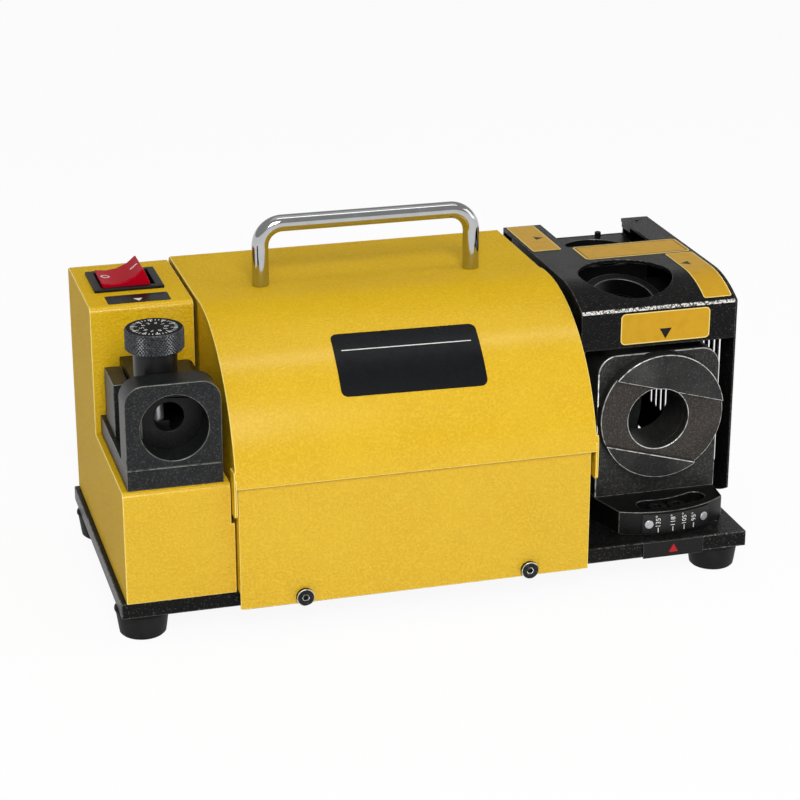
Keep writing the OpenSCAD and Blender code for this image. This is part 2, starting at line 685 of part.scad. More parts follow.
module head_rear_panel() color([0.1, 0.1, 0.11]) difference() {
    union() {
        box([head_x0, plate_back - rear_panel_t, plate_z1], [side_x0, plate_back, rear_block_z1]);
        for (x = [[head_x0, notch_x0 - 1], [notch_x1 + 1, side_x0]])
            box([x[0], plate_back - rear_panel_t, plate_z1], [x[1], plate_back, cover_z - cover_t]);
        for (x = panel_bolt_x) box([x - 9, plate_back - rear_panel_t - panel_foot, plate_z1],
            [x + 9, plate_back, plate_z1 + panel_foot_t]);
        for (p = cover_screw_places) box([p[0] - 6, p[1] - 6, cover_z - cover_t - cover_tab_t],
            [p[0] + 6, plate_back, cover_z - cover_t]);
    }
    for (x = panel_bolt_x) rod_z(plate_z1 - 1, plate_z1 + panel_foot_t + 1, x, panel_bolt_y, m5[0]);
    for (p = cover_screw_places) rod_z(cover_z - 8, cover_z, p[0], p[1], cover_screw[0]);
    for (x = rear_block_bolt_x)
        rod_y(plate_back - rear_panel_t - 1, plate_back + 1, x, rear_block_bolt_z, m4_flat[0]);
}

module cover_screws() color([0.12, 0.12, 0.12]) {
    for (p = cover_screw_places) translate([p[0], p[1], cover_z - cover_screw[2] - cover_screw_l])
        screw(cover_screw, cover_screw_l);
    for (x = panel_bolt_x) translate([x, panel_bolt_y, plate_z0]) screw(m5, plate_t + panel_foot_t);
}

// ---- ports on top ----
module at_top_port() translate(top_port_c) rotate([top_tilt, 0, 0]) children();
module top_port() color([0.2, 0.2, 0.2]) difference() {
    union() {
        at_top_port() translate([bulkhead_x1 - top_port_c[0], bridge_s[0], -bridge_t])
            cube([side_x0 - bulkhead_x1, bridge_s[1] - bridge_s[0], bridge_t]);
        at_top_port() translate([0, 0, -bridge_t - boss_down])
            cylinder(h = boss_down + bridge_t + boss_up, r = boss_r);
    }
    at_top_port() translate([0, 0, -30]) cylinder(h = 50, r = port_r);
    // room for the cover's left wall and for the lugs under it
    box([head_x0 - gap, front, cover_wall_z - gap], [head_x0 + cover_t + gap, back, top_z + 9]);
    box([bulkhead_x1 - 1, front, lug_z - gap], [head_x0 + lug_l + gap, back, lug_z + lug_t + gap]);
}

module rear_port_block() color([0.16, 0.16, 0.16]) difference() {
    box([notch_x0 + 0.5, notch_y + 0.5, rear_block_z1 - rear_block_t],
        [notch_x1 - 0.5, plate_back - rear_panel_t, rear_block_z1]);
    rod_z(rear_block_z1 - rear_block_t - 1, rear_block_z1 + 1, rear_port[0], rear_port[1], port_r);
    rod_z(rear_block_z1 - rear_rim[1], rear_block_z1 + 1, rear_port[0], rear_port[1], rear_rim[0]);
    for (x = rear_block_bolt_x) rod_y(plate_back - rear_panel_t - rear_block_bolt_l - 1, plate_back, x,
        rear_block_bolt_z, m4_flat[0]);
    rod_z(rear_block_z1 - index_pin_l, rear_block_z1 + 1, index_pin[0], index_pin[1], index_pin_size[0]);
}

// Two screws through the rear panel, and the headed pin that indexes a holder.
module port_screws() color([0.15, 0.15, 0.15]) {
    for (x = rear_block_bolt_x)
        screw_from_back(x, plate_back, rear_block_bolt_z, m4_flat, rear_panel_t + rear_block_bolt_l);
    translate([index_pin[0], index_pin[1], rear_block_z1 - index_pin_l]) screw(index_pin_size, index_pin_l);
}

// ---- point-angle station ----
module wedge(a0, a1, r) polygon([[pivot[0], pivot[1]], around(a0, r), around((a0 + a1) / 2, r / cos((a1 - a0) / 2)),
    around(a1, r)]);
module arc_slot(w) union() {
    intersection() {
        difference() {
            translate(pivot) circle(arc_slot_r + w / 2);
            translate(pivot) circle(arc_slot_r - w / 2);
        }
        wedge(arc_slot_a[0], arc_slot_a[1], arc_slot_r * 2);
    }
    for (a = arc_slot_a) translate(around(a, arc_slot_r)) circle(w / 2);
}

module swivel_base() color([0.12, 0.12, 0.13]) difference() {
    prism_z(swivel_z0, swivel_z1) difference() {
        union() {
            translate(pivot) intersection() {
                circle(swivel_r);
                polygon([[-swivel_left, -swivel_r], [swivel_right, -swivel_r], [swivel_right, -swivel_r * 0.8],
                    [block_right, block_front - pivot[1]], [-block_left, block_front - pivot[1]],
                    [-swivel_left, -swivel_r * 0.9]]);
            }
            rect([pivot[0] - block_left, block_front], [pivot[0] + block_right, block_back]);
            translate(pivot) circle(swivel_hub_r);
        }
        translate(pivot) circle(pin_r + run);
        arc_slot(arc_slot_w);
    }
    prism_z(swivel_z1 - arc_slot_d, swivel_z1 + 1) arc_slot(arc_head_w);
    for (x = block_bolt_x) {
        rod_z(swivel_z0 - 1, swivel_z1 + 1, x, block_bolt_y, m5[0]);
        rod_z(swivel_z0 - 1, swivel_z0 + block_bolt_well[1], x, block_bolt_y, block_bolt_well[0]);
    }
    at_scale_screws(swivel_r + scale_t - scale_screw_l) cylinder(h = scale_screw_l, r = m2[0]);
}
// Places that point outwards from the pivot, r from it.
module at_scale_screws(r) for (a = scale_screw_a) translate([pivot[0], pivot[1], (scale_z0 + scale_z1) / 2])
    rotate([0, 0, a]) rotate([90, 0, 0]) translate([0, 0, r]) children();

module swivel_block() color([0.24, 0.23, 0.23]) difference() {
    prism_y(block_front, block_back) difference() {
        rect([pivot[0] - block_left, swivel_z1], [pivot[0] + block_right, block_z1]);
        corner([pivot[0] - block_left, block_z1], [-1, 1], block_r);
        corner([pivot[0] + block_right, block_z1], [1, 1], block_r);
    }
    rod_y(block_front - 1, block_back + 1, port_x, port_z, port_r);
    for (x = block_bolt_x) rod_z(swivel_z1 - 1, swivel_z1 + block_bolt_l + 1, x, block_bolt_y, m5[0]);
    ring_screw_places() translate([0, 0, -1]) cylinder(h = block_d + 2, r = m4[0]);
}
module ring_screw_places() for (a = [30, 150, 270]) translate([port_x + ring_screw_pcd_r * cos(a), block_back,
    port_z + ring_screw_pcd_r * sin(a)]) rotate([90, 0, 0]) children();

module block_bolts() color("silver") for (x = block_bolt_x)
    translate([x, block_bolt_y, swivel_z1 + block_bolt_l]) rotate([180, 0, 0])
        screw(m5, block_bolt_l + swivel_t - block_bolt_well[1]);

// The band that the channel cuts out of the ring's face.
module channel() translate([port_x, 0, port_z]) rotate([0, -channel_tilt, 0])
    translate([-ring_r - 2, ring_face - 1, -channel_down])
        cube([2 * ring_r + 4, channel_d + 1, channel_up + channel_down]);
module cam_ring() color([0.27, 0.25, 0.25]) difference() {
    rod_y(ring_face, block_front, ring_c[0], ring_c[1], ring_r);
    rod_y(ring_face - 1, block_front + 1, port_x, port_z, port_r);
    channel();
    ring_screw_places() translate([0, 0, block_d - 1]) cylinder(h = ring_screw_grip + 1, r = m4[0]);
}
module ring_screws() color("silver") ring_screw_places() translate([0, 0, block_d + ring_screw_grip])
    rotate([180, 0, 0]) screw(m4, block_d + ring_screw_grip);

module pivot_pin() color("silver") {
    rod_z(plate_z0, swivel_z1 + 1, pivot[0], pivot[1], pin_r);
    rod_z(swivel_z1 + slide_gap, swivel_z1 + 3, pivot[0], pivot[1], pin_head_r);
}

module clamp_screws() color([0.1, 0.1, 0.1]) for (a = clamp_a) translate([around(a, arc_slot_r)[0],
    around(a, arc_slot_r)[1], plate_z0]) screw(clamp_screw, swivel_z1 - arc_slot_d + slide_gap - plate_z0);

module angle_scale() color([0.08, 0.08, 0.08]) difference() {
    prism_z(scale_z0, scale_z1) intersection() {
        difference() {
            translate(pivot) circle(swivel_r + scale_t);
            translate(pivot) circle(swivel_r);
        }
        wedge(scale_a[0], scale_a[1], swivel_r * 1.5);
    }
    at_scale_screws(swivel_r - 1) cylinder(h = scale_t + 2, r = m2[0]);
}
module scale_screws() color("silver") at_scale_screws(swivel_r + scale_t - scale_screw_l)
    screw(m2, scale_screw_l, sides = 4);

// ---- gauge ----
module gauge_bolt_hole(x, y) rod_z(ledge_z - 1, ledge_z + gauge_base_t + gauge_stud_l + 1, x, y, m4[0]);
module gauge_base() color([0.13, 0.13, 0.14]) difference() {
    box([gauge_x0, gauge_front, ledge_z], [gauge_x1, gauge_back, ledge_z + gauge_base_t]);
    for (x = gauge_bolt_x, y = gauge_bolt_y) gauge_bolt_hole(x, y);
}

module gauge_block() color([0.17, 0.17, 0.18]) difference() {
    prism_y(gauge_front, gauge_front + gauge_block_d) difference() {
        rect([gauge_x0, ledge_z + gauge_base_t], [gauge_x1, gauge_z1]);
        corner([gauge_x0, gauge_z1], [-1, 1], gauge_r);
        corner([gauge_x1, gauge_z1], [1, 1], gauge_r);
    }
    rod_y(gauge_front - 1, gauge_front + gauge_block_d + 1, gauge_bore[0], gauge_bore[1], port_r);
    for (x = gauge_bolt_x) gauge_bolt_hole(x, gauge_bolt_y[0]);
}

module gauge_body() color([0.15, 0.15, 0.16]) difference() {
    union() {
        prism_y(gauge_front + gauge_block_d, gauge_body_back) difference() {
            rect([gauge_body_x0, ledge_z + gauge_base_t], [gauge_body_x1, gauge_body_z1]);
            corner([gauge_body_x1, gauge_body_z1], [1, 1], 4);
        }
        box([gauge_body_x0, gauge_body_back - 1, ledge_z + gauge_base_t], [gauge_tail[0], gauge_back, gauge_tail[1]]);
    }
    rod_y(gauge_front, gauge_body_back - drill_end, gauge_bore[0], gauge_bore[1], drill_r);
    // room for the spindle and the stop
    rod_z(stop_z0, gauge_z1, knob_c[0], knob_c[1], spindle_r + run);
    translate([knob_c[0], knob_c[1], stop_z0 - stop_travel - gap])
        block(stop_w + 2 * run, stop_w + 2 * run, gauge_body_z1 - stop_z0 - 4);
    gauge_bolt_hole(gauge_bolt_x[1], gauge_bolt_y[1]);
}

module gauge_side_plate() color([0.2, 0.18, 0.17]) difference() {
    box([side_plate_x[0], side_plate_y[0], ledge_z + gauge_base_t],
        [side_plate_x[1], side_plate_y[1], side_plate_z1]);
    gauge_bolt_hole(gauge_bolt_x[0], gauge_bolt_y[1]);
}

module gauge_screws() color("silver") for (x = gauge_bolt_x, y = gauge_bolt_y)
    translate([x, y, ledge_z + gauge_base_t + gauge_stud_l]) rotate([180, 0, 0])
        screw(m4, gauge_base_t + gauge_stud_l + sheet + bracket_t);

module gauge_collar() color([0.14, 0.14, 0.15]) difference() {
    rod_z(gauge_body_z1, collar_z1, knob_c[0], knob_c[1], collar_r);
    rod_z(gauge_body_z1 - 1, collar_z1 + 1, knob_c[0], knob_c[1], spindle_r + run);
}
module gauge_spindle() color("silver")
    rod_z(stop_z0 + 4, knob_z0 + knob_grip, knob_c[0], knob_c[1], spindle_r);
module gauge_knob() color([0.12, 0.12, 0.12]) difference() {
    translate([knob_c[0], knob_c[1], knob_z0]) rotate_extrude() polygon([[0, 0], [knob_r - knob_chamfer, 0],
        [knob_r, knob_chamfer], [knob_r, knob_h - knob_chamfer], [knob_r - knob_chamfer, knob_h], [0, knob_h]]);
    rod_z(knob_z0 - 1, knob_z0 + knob_grip, knob_c[0], knob_c[1], spindle_r);
}
module gauge_stop() color([0.6, 0.6, 0.62]) difference() {
    translate([knob_c[0], knob_c[1], stop_z0]) block(stop_w, stop_w, stop_h);
    rod_z(stop_z0 - 1, stop_z0 + stop_h + 1, knob_c[0], knob_c[1], spindle_r + run);
}

// ---- switch ----
module switch_body() color([0.1, 0.1, 0.1]) difference() {
    translate([switch_c[0], switch_c[1], housing_top]) union() {
        block(bezel_l, bezel_d, bezel_t);
        translate([0, 0, -switch_depth]) block(well_l + 2 * switch_wall, well_d + 2 * switch_wall, switch_depth);
    }
    translate([switch_c[0], switch_c[1], housing_top - well_h]) block(well_l, well_d, well_h + bezel_t + 1);
    rod_y(switch_c[1] - well_d / 2 - switch_wall, switch_c[1] + well_d / 2 + switch_wall, switch_c[0], rocker_z,
        trunnion_r + run);
}

// The rocker leans to its off side: the right end stands up.
module switch_rocker() color([0.75, 0.05, 0.08]) translate([switch_c[0], switch_c[1], rocker_z])
    rotate([0, -rocker_tilt, 0]) union() {
        prism_y(-rocker_d / 2, rocker_d / 2) polygon([[-11, 10], [-6, 7.7], [0, 6.8], [6, 7.7], [11, 10],
            [12.2, 1.5], [8, -6], [-8, -6], [-12.2, 1.5]]);
        rod_y(-well_d / 2 - switch_wall + gap, well_d / 2 + switch_wall - gap, 0, 0, trunnion_r);
    }

module switch_terminals() color([0.8, 0.65, 0.3]) for (x = [-8, 8], y = [-6, 6])
    translate([switch_c[0] + x, switch_c[1] + y, housing_top - switch_depth - terminal[2]])
        block(terminal[0], terminal[1], terminal[2]);

// ---- mains inlet and capacitor ----
module power_inlet() color([0.08, 0.08, 0.08]) difference() {
    union() {
        box([inlet_c[0] - inlet_flange[0] / 2, housing_back, inlet_c[1] - inlet_flange[1] / 2],
            [inlet_c[0] + inlet_flange[0] / 2, housing_back + inlet_flange[2], inlet_c[1] + inlet_flange[1] / 2]);
        translate([inlet_c[0], housing_back, inlet_c[1]])
            box([inlet_clear - inlet_w / 2, -inlet_depth, inlet_clear - inlet_h / 2],
                [inlet_w / 2 - inlet_clear, eps, inlet_h / 2 - inlet_clear]);
    }
    prism_y(housing_back - inlet_depth + 4, housing_back + inlet_flange[2] + 1) polygon([
        for (p = [[-11.8, -8.2], [11.8, -8.2], [11.8, 4.2], [7.8, 8.2], [-7.8, 8.2], [-11.8, 4.2]]) p + inlet_c]);
    for (s = [-1, 1]) rod_y(housing_back - 1, housing_back + 3, inlet_c[0] + s * inlet_pitch / 2, inlet_c[1], m3[0]);
}
module inlet_pins() color([0.8, 0.75, 0.6]) for (p = [[-7, -2], [7, -2], [0, 2.5]])
    box([inlet_c[0] + p[0] - 1, housing_back - inlet_depth + 4, inlet_c[1] + p[1] - 2],
        [inlet_c[0] + p[0] + 1, housing_back - 3, inlet_c[1] + p[1] + 2]);
module inlet_screws() color([0.1, 0.1, 0.1]) for (s = [-1, 1])
    screw_from_back(inlet_c[0] + s * inlet_pitch / 2, housing_back + inlet_flange[2], inlet_c[1],
        [m3[0], 2.9, back + m4_flat[2] - housing_back - inlet_flange[2], 1], inlet_screw_l);

module capacitor() color([0.75, 0.75, 0.78])
    rod_z(plate_z1, plate_z1 + cap_l, cap_c[0], cap_c[1], cap_r);

// ---- motor ----
module tie_places(x) for (a = [0 : 90 : 270])
    translate([x, axis_y + tie_r * cos(a), axis_z + tie_r * sin(a)]) rotate([0, 90, 0]) children();

module motor_housing() color([0.35, 0.36, 0.38]) difference() {
    rod_x(motor_x0, motor_x1, axis_y, axis_z, motor_r);
    rod_x(motor_x0 - 1, motor_x1 + 1, axis_y, axis_z, motor_r - motor_wall);
}
module motor_front_bell() color([0.6, 0.6, 0.62]) difference() {
    union() {
        rod_x(motor_x1, bulkhead_x0, axis_y, axis_z, motor_r);
        rod_x(bulkhead_x0 - 1, bulkhead_x1, axis_y, axis_z, spigot_r);
    }
    rod_x(motor_x1 - 1, front_bearing_x, axis_y, axis_z, motor_r - 2 * motor_wall);
    rod_x(motor_x1 - 1, front_bearing_x + bearing_w, axis_y, axis_z, bearing_r);
    rod_x(motor_x1, bulkhead_x1 + 1, axis_y, axis_z, shaft_r + 2);
    motor_bolt_places(bulkhead_x0 - motor_bolt_l) cylinder(h = motor_bolt_l + 1, r = m5[0]);
    tie_places(motor_x1 - 1) cylinder(h = tie_grip + 1.5, r = m4[0]);
}
module motor_rear_bell() color([0.6, 0.6, 0.62]) difference() {
    rod_x(motor_x0 - bell_l, motor_x0, axis_y, axis_z, motor_r);
    rod_x(rear_bearing_x + bearing_w, motor_x0 + 1, axis_y, axis_z, motor_r - 2 * motor_wall);
    rod_x(rear_bearing_x, motor_x0 + 1, axis_y, axis_z, bearing_r);
    rod_x(motor_x0 - bell_l - 1, motor_x0, axis_y, axis_z, shaft_r + 1);
    tie_places(motor_x0 - bell_l - 1) cylinder(h = bell_l + 2, r = m4[0]);
}
module stator_core() color([0.45, 0.45, 0.47]) difference() {
    rod_x(stator_x0, stator_x0 + stator_l, axis_y, axis_z, motor_r - motor_wall);
    rod_x(stator_x0 - 1, stator_x0 + stator_l + 1, axis_y, axis_z, stator_bore);
    tie_places(stator_x0 - 1) cylinder(h = stator_l + 2, r = m4[0] + 0.3);
}
module stator_coils() color([0.72, 0.4, 0.2]) for (x = [stator_x0 - coil_l, stator_x0 + stator_l]) difference() {
    rod_x(x, x + coil_l, axis_y, axis_z, tie_r - m4[0] - 1.5);
    rod_x(x - 1, x + coil_l + 1, axis_y, axis_z, stator_bore + 1.5);
}
module rotor_core() color([0.5, 0.5, 0.52]) difference() {
    rod_x(stator_x0, stator_x0 + stator_l, axis_y, axis_z, rotor_r);
    rod_x(stator_x0 - 1, stator_x0 + stator_l + 1, axis_y, axis_z, shaft_r);
}
module motor_shaft() color("silver") rod_x(shaft_x0, shaft_x1, axis_y, axis_z, shaft_r);
module bearings() color([0.7, 0.7, 0.72]) for (x = [front_bearing_x, rear_bearing_x]) difference() {
    rod_x(x, x + bearing_w, axis_y, axis_z, bearing_r);
    rod_x(x - 1, x + bearing_w + 1, axis_y, axis_z, shaft_r + run);
    for (s = [0, 1]) difference() {
        rod_x(x + s * (bearing_w - 1) - (1 - s), x + 1 + s * bearing_w, axis_y, axis_z, bearing_r - 3);
        rod_x(x - 2, x + bearing_w + 2, axis_y, axis_z, shaft_r + 3);
    }
}
module motor_tie_bolts() color("silver") tie_places(motor_x1 + tie_grip) rotate([180, 0, 0])
    screw(m4, motor_tube_l + bell_l + tie_grip);

module cooling_fan() color([0.2, 0.2, 0.22]) difference() {
    union() {
        rod_x(fan_x1 - fan_l, fan_x1, axis_y, axis_z, fan_hub_r);
        rod_x(fan_x1 - 2, fan_x1, axis_y, axis_z, fan_r);
        for (i = [0 : fan_blades - 1]) translate([0, axis_y, axis_z]) rotate([i * 360 / fan_blades, 0, 0])
            box([fan_x1 - fan_l, fan_hub_r - 2, -0.9], [fan_x1 - 1, fan_r - 1, 0.9]);
    }
    rod_x(fan_x1 - fan_l - 1, fan_x1 + 1, axis_y, axis_z, shaft_r);
}

// The arbor slides over the shaft's end and carries the wheel on a spigot.
module wheel_arbor() color([0.7, 0.7, 0.72]) difference() {
    union() {
        rod_x(shaft_x1 - arbor_hub[1], shaft_x1 + 1, axis_y, axis_z, arbor_hub[0]);
        rod_x(shaft_x1, wheel_x0, axis_y, axis_z, arbor_flange[0]);
        rod_x(wheel_x0 - 1, wheel_x1 - 1, axis_y, axis_z, arbor_r);
        rod_x(wheel_x1 - 2, wheel_x1 + 8, axis_y, axis_z, arbor_thread_r);
    }
    rod_x(shaft_x1 - arbor_hub[1] - 1, shaft_x1, axis_y, axis_z, shaft_r);
}
// The wheel's half section, shrunk by i on its working side.
module wheel_area(i) polygon([[wheel_x0, 0], [wheel_x0, wheel_r - 8 - i],
    [wheel_x0 + wheel_shoulder, wheel_r - 3 - i], [wheel_x0 + wheel_shoulder, wheel_r - i], [wheel_x1, wheel_r - i],
    [wheel_x1, 0]]);
module lathe_x() translate([0, axis_y, axis_z]) rotate([0, 90, 0]) rotate_extrude() rotate([0, 0, 90])
    mirror([0, 1, 0]) children();
module grinding_wheel() color([0.3, 0.31, 0.33]) difference() {
    lathe_x() wheel_area(rim_t);
    rod_x(wheel_x0 - 1, wheel_x1 + 1, axis_y, axis_z, arbor_r);
}
module abrasive_rim() color([0.72, 0.55, 0.5]) difference() {
    lathe_x() wheel_area(0);
    lathe_x() wheel_area(rim_t);
}
module wheel_nut() color("silver") difference() {
    union() {
        rod_x(wheel_x1, wheel_x1 + 2, axis_y, axis_z, 11);
        translate([wheel_x1 + 2, axis_y, axis_z]) rotate([0, 90, 0]) cylinder(h = 5, r = 7.5, $fn = 6);
    }
    rod_x(wheel_x1 - 1, wheel_x1 + 9, axis_y, axis_z, arbor_thread_r);
}

base_plate();
feet();
foot_screws();
pointer_plate();
left_housing();
inner_brackets();
rear_screws();
hood();
lower_front_panel();
panel_screws();
handle();
handle_screws();
bulkhead();
bulkhead_bolts();
head_cover();
side_plate();
head_rear_panel();
cover_screws();
top_port();
rear_port_block();
port_screws();
swivel_base();
swivel_block();
block_bolts();
cam_ring();
ring_screws();
pivot_pin();
clamp_screws();
angle_scale();
scale_screws();
gauge_base();
gauge_block();
gauge_body();
gauge_side_plate();
gauge_screws();
gauge_collar();
gauge_spindle();
gauge_knob();
gauge_stop();
switch_body();
switch_rocker();
switch_terminals();
power_inlet();
inlet_pins();
inlet_screws();
capacitor();
motor_housing();
motor_front_bell();
motor_rear_bell();
stator_core();
stator_coils();
rotor_core();
motor_shaft();
bearings();
motor_tie_bolts();
cooling_fan();
wheel_arbor();
grinding_wheel();
abrasive_rim();
wheel_nut();
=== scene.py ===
"""Bench drill bit sharpener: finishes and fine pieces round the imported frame."""

import json
import math

import bmesh
import bpy
from mathutils import Matrix, Vector

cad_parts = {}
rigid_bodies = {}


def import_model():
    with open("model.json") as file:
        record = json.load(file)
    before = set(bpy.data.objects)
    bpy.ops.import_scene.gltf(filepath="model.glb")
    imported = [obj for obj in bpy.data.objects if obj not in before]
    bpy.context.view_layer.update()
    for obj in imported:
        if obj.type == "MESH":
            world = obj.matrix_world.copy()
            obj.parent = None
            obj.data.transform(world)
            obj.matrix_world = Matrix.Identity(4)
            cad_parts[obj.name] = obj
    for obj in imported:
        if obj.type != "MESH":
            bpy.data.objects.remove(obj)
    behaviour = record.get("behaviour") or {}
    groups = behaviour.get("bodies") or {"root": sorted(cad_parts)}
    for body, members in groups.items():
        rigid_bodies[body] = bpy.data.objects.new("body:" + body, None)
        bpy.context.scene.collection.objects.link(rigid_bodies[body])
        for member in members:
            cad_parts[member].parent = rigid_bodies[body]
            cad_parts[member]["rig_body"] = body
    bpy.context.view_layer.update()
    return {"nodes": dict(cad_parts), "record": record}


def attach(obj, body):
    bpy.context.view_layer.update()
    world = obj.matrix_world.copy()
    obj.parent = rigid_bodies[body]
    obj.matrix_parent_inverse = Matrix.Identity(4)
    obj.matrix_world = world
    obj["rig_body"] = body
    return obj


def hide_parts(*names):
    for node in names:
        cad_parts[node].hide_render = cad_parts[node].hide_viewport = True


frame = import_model()

MM = 0.001

# ---- places shared with the frame, in millimetres ----
HOOD_RADIUS = 81.3
HOOD_CENTRE = (-1.2, 64.8146)       # y, z of the curve's centre
COVER_TOP = 146.2
COVER_RADIUS = 60.0
COVER_FLAT_Y = -15.0                # the cover's top bends down from here
COVER_APRON_Y = -46.5
HOUSING_TOP = 144.3
PIVOT = (120.5, -10.0)
PORT = (121.2, 77.3)                # x, z of the point-angle port's axis
PORT_RADIUS = 16.25
RING = (123.2, 78.7)                # x, z of the ring's middle
CHANNEL_Y = -45.7                   # floor of the ring's channel
SCALE_RADIUS = 56.6
SCALE_Z = (23.3, 33.5)
KNOB = (-134.9, -44.3)
KNOB_RADIUS = 14.2
KNOB_Z = (139.1, 149.6)
ROCKER = (-134.0, 46.0, 141.4)
ROCKER_TILT = math.radians(16)
POINTER = (120.5, -74.2, 17.2)      # middle of the pointer mark
POINTER_RADIUS = 2.9

# ---- sizes of the fine pieces, in millimetres and degrees ----
CORNER_ANGLE = 35                   # sharper corners stay crisp and get rounded
LABEL_THICK = 0.12
INK_THICK = 0.03
ARROW = (4.2, 5.6)                  # length and width
BEND_ROUND = 1.6                    # radius of the bend at the top of the cover's apron
BEND_HIGHLIGHT_SPREAD = 0.26                  # how far a face's slope may be from the bend's middle to get the painted highlight
FIGURE_RADIUS = 5.7                 # circle of the figures on the knob
HOOD_LABEL_X = -12.9
HOOD_LABEL_ANGLE = math.radians(48.7)
HOOD_LABEL_TURN = -0.015
HOOD_RULE_UP = 7.2                  # from the label's middle to its rule
HOOD_STEP = 1.6                     # cuts along the hood's curve
SWITCH_MARK = (7.6, 8.55)           # x and z of the rocker's marks
SWITCH_SLOPE = math.radians(22)     # of the rocker's two halves
SCALE_MARKS = (("135°", -5.5), ("118°", 2.5), ("105°", 9.0), ("95°", 14.8))
SCALE_TEXT_Z = 29.6

# ---- camera and lamps, in metres and degrees ----
CAMERA_PLACE = (-0.306664, -1.076478, 0.503455)
CAMERA_YAW = 15.79013
CAMERA_PITCH = 20.5817
CAMERA_LENS = 105.18
SKY_LEVEL = 0.36
LAMPS = (                           # name, place, aim, (width, depth), power
    ("key", (-0.25, -1.5, 1.25), (0, 0, 0.08), (0.7, 0.7), 23),
    ("top", (0.1, 0.2, 1.6), (0, 0, 0.1), (1.2, 1.2), 1.5),
    ("right", (1.4, -0.5, 0.7), (0, 0, 0.1), (0.8, 0.8), 3),
    ("strip", (0.35, -0.15, 1.5), (0.35, -0.15, 0), (1.0, 0.16), 1.5),
)


# ---- finishes ----
def tone(red, green, blue):
    """A colour in sRGB steps of 0 to 255, as linear light."""
    shares = [step / 255 for step in (red, green, blue)]
    return tuple(s / 12.92 if s <= 0.04045 else ((s + 0.055) / 1.055) ** 2.4 for s in shares) + (1.0,)


class Wire:
    """A socket of a finish. Arithmetic on it adds Math nodes."""

    def __init__(self, finish, socket):
        self.finish = finish
        self.socket = socket

    def maths(self, operation, *values):
        return self.finish.node("ShaderNodeMath", {"operation": operation}, dict(enumerate(values)))

    def __add__(self, other):
        return self.maths("ADD", self, other)

    def __radd__(self, other):
        return self.maths("ADD", other, self)

    def __sub__(self, other):
        return self.maths("SUBTRACT", self, other)

    def __rsub__(self, other):
        return self.maths("SUBTRACT", other, self)

    def __mul__(self, other):
        return self.maths("MULTIPLY", self, other)

    def __rmul__(self, other):
        return self.maths("MULTIPLY", other, self)

    def __truediv__(self, other):
        return self.maths("DIVIDE", self, other)

    def fade(self, low, high):
        """0 below low, 1 above high, and smooth between them."""
        return self.finish.node("ShaderNodeMapRange", {"interpolation_type": "SMOOTHSTEP"},
                                {"Value": self, "From Min": low, "From Max": high})


class Finish:
    """A material with one Principled shader."""

    def __init__(self, name):
        self.material = bpy.data.materials.new(name)
        self.material.use_nodes = True
        self.tree = self.material.node_tree
        self.shader = self.tree.nodes["Principled BSDF"]
        self.place = self.node("ShaderNodeTexCoord", {}, {}, "Object")

    def node(self, kind, settings, values, out=0):
        """A new node: its settings first, then the values or links of its sockets."""
        node = self.tree.nodes.new(kind)
        for key, setting in settings.items():
            setattr(node, key, setting)
        self.fill(node, values)
        return Wire(self, node.outputs[out])

    def fill(self, node, values):
        for key, value in values.items():
            if isinstance(value, Wire):
                self.tree.links.new(value.socket, node.inputs[key])
            else:
                node.inputs[key].default_value = value

    def noise(self, size, detail=2.0, rough=0.5, stretch=None):
        """Noise whose patches are about size millimetres across."""
        place = self.place
        if stretch:
            place = self.node("ShaderNodeVectorMath", {"operation": "MULTIPLY"}, {0: place, 1: stretch})
        return self.node("ShaderNodeTexNoise", {},
                         {"Vector": place, "Scale": 1 / (size * MM), "Detail": detail, "Roughness": rough})

    def mix(self, share, first, second):
        return self.node("ShaderNodeMix", {"data_type": "RGBA"}, {0: share, 6: first, 7: second}, 2)

    def bump(self, height, depth, strength=1.0):
        """Relief whose full height is depth millimetres."""
        return self.node("ShaderNodeBump", {},
                         {"Strength": strength, "Distance": depth * MM, "Height": height})

    def shade(self, **values):
        """Base Color as base_color, and so on."""
        named = {key.replace("_", " ").title(): value for key, value in values.items()}
        named = {key.replace("Ior", "IOR"): value for key, value in named.items()}
        self.fill(self.shader, named)
        return self.material


def yellow_coat():
    f = Finish("yellow_coat")
    grain = f.noise(1.2, 2.0, 0.5)
    cloud = f.noise(38, 3.0, 0.55)
    # The colour follows the grain's relief: darker in its pits and paler on its peaks, a painted shade and
    # highlight of the orange peel. The cloud only varies the pits' tone at random.
    pit_shade = f.mix(cloud.fade(0.3, 0.7), tone(216, 171, 18), tone(220, 177, 24))
    colour = f.mix(grain.fade(0.4, 0.7), pit_shade, tone(225, 185, 36))
    faced = 1 - f.node("ShaderNodeLayerWeight", {}, {"Blend": 0.5}, "Facing")
    return f.shade(base_color=colour, roughness=0.45 + 0.08 * f.noise(4, 3.0), specular_ior_level=0.04,
                   coat_weight=faced.fade(0.4, 0.85) * 0.8, coat_roughness=0.22,
                   normal=f.bump(grain, 0.8, 1.0))


def yellow_edge():
    """Edge of the yellow sheet, where the coat is thin; its paler colour is a painted highlight."""
    f = Finish("yellow_edge")
    # The edge's pale tones, varied in patches by thin, are a painted highlight.
    thin = f.noise(2.4, 3.0, 0.6)
    colour = f.mix(thin, tone(240, 203, 76), tone(253, 236, 150))
    return f.shade(base_color=colour, roughness=0.34 + 0.1 * thin, specular_ior_level=0.25,
                   normal=f.bump(f.noise(0.9, 2.0), 0.06, 0.6))


def black_coat():
    f = Finish("black_coat")
    grain = f.noise(0.9, 2.0, 0.6)
    glint = f.noise(0.8, 2.0, 0.6).fade(0.6, 0.68)
    colour = f.mix(f.noise(22, 3.0).fade(0.3, 0.7), tone(11, 11, 12), tone(16, 15, 15))
    colour = f.mix(glint * 0.45, colour, tone(104, 102, 98))
    return f.shade(base_color=colour, roughness=0.3 - 0.08 * glint,
                   specular_ior_level=0.1, normal=f.bump(grain, 0.4, 1.0))


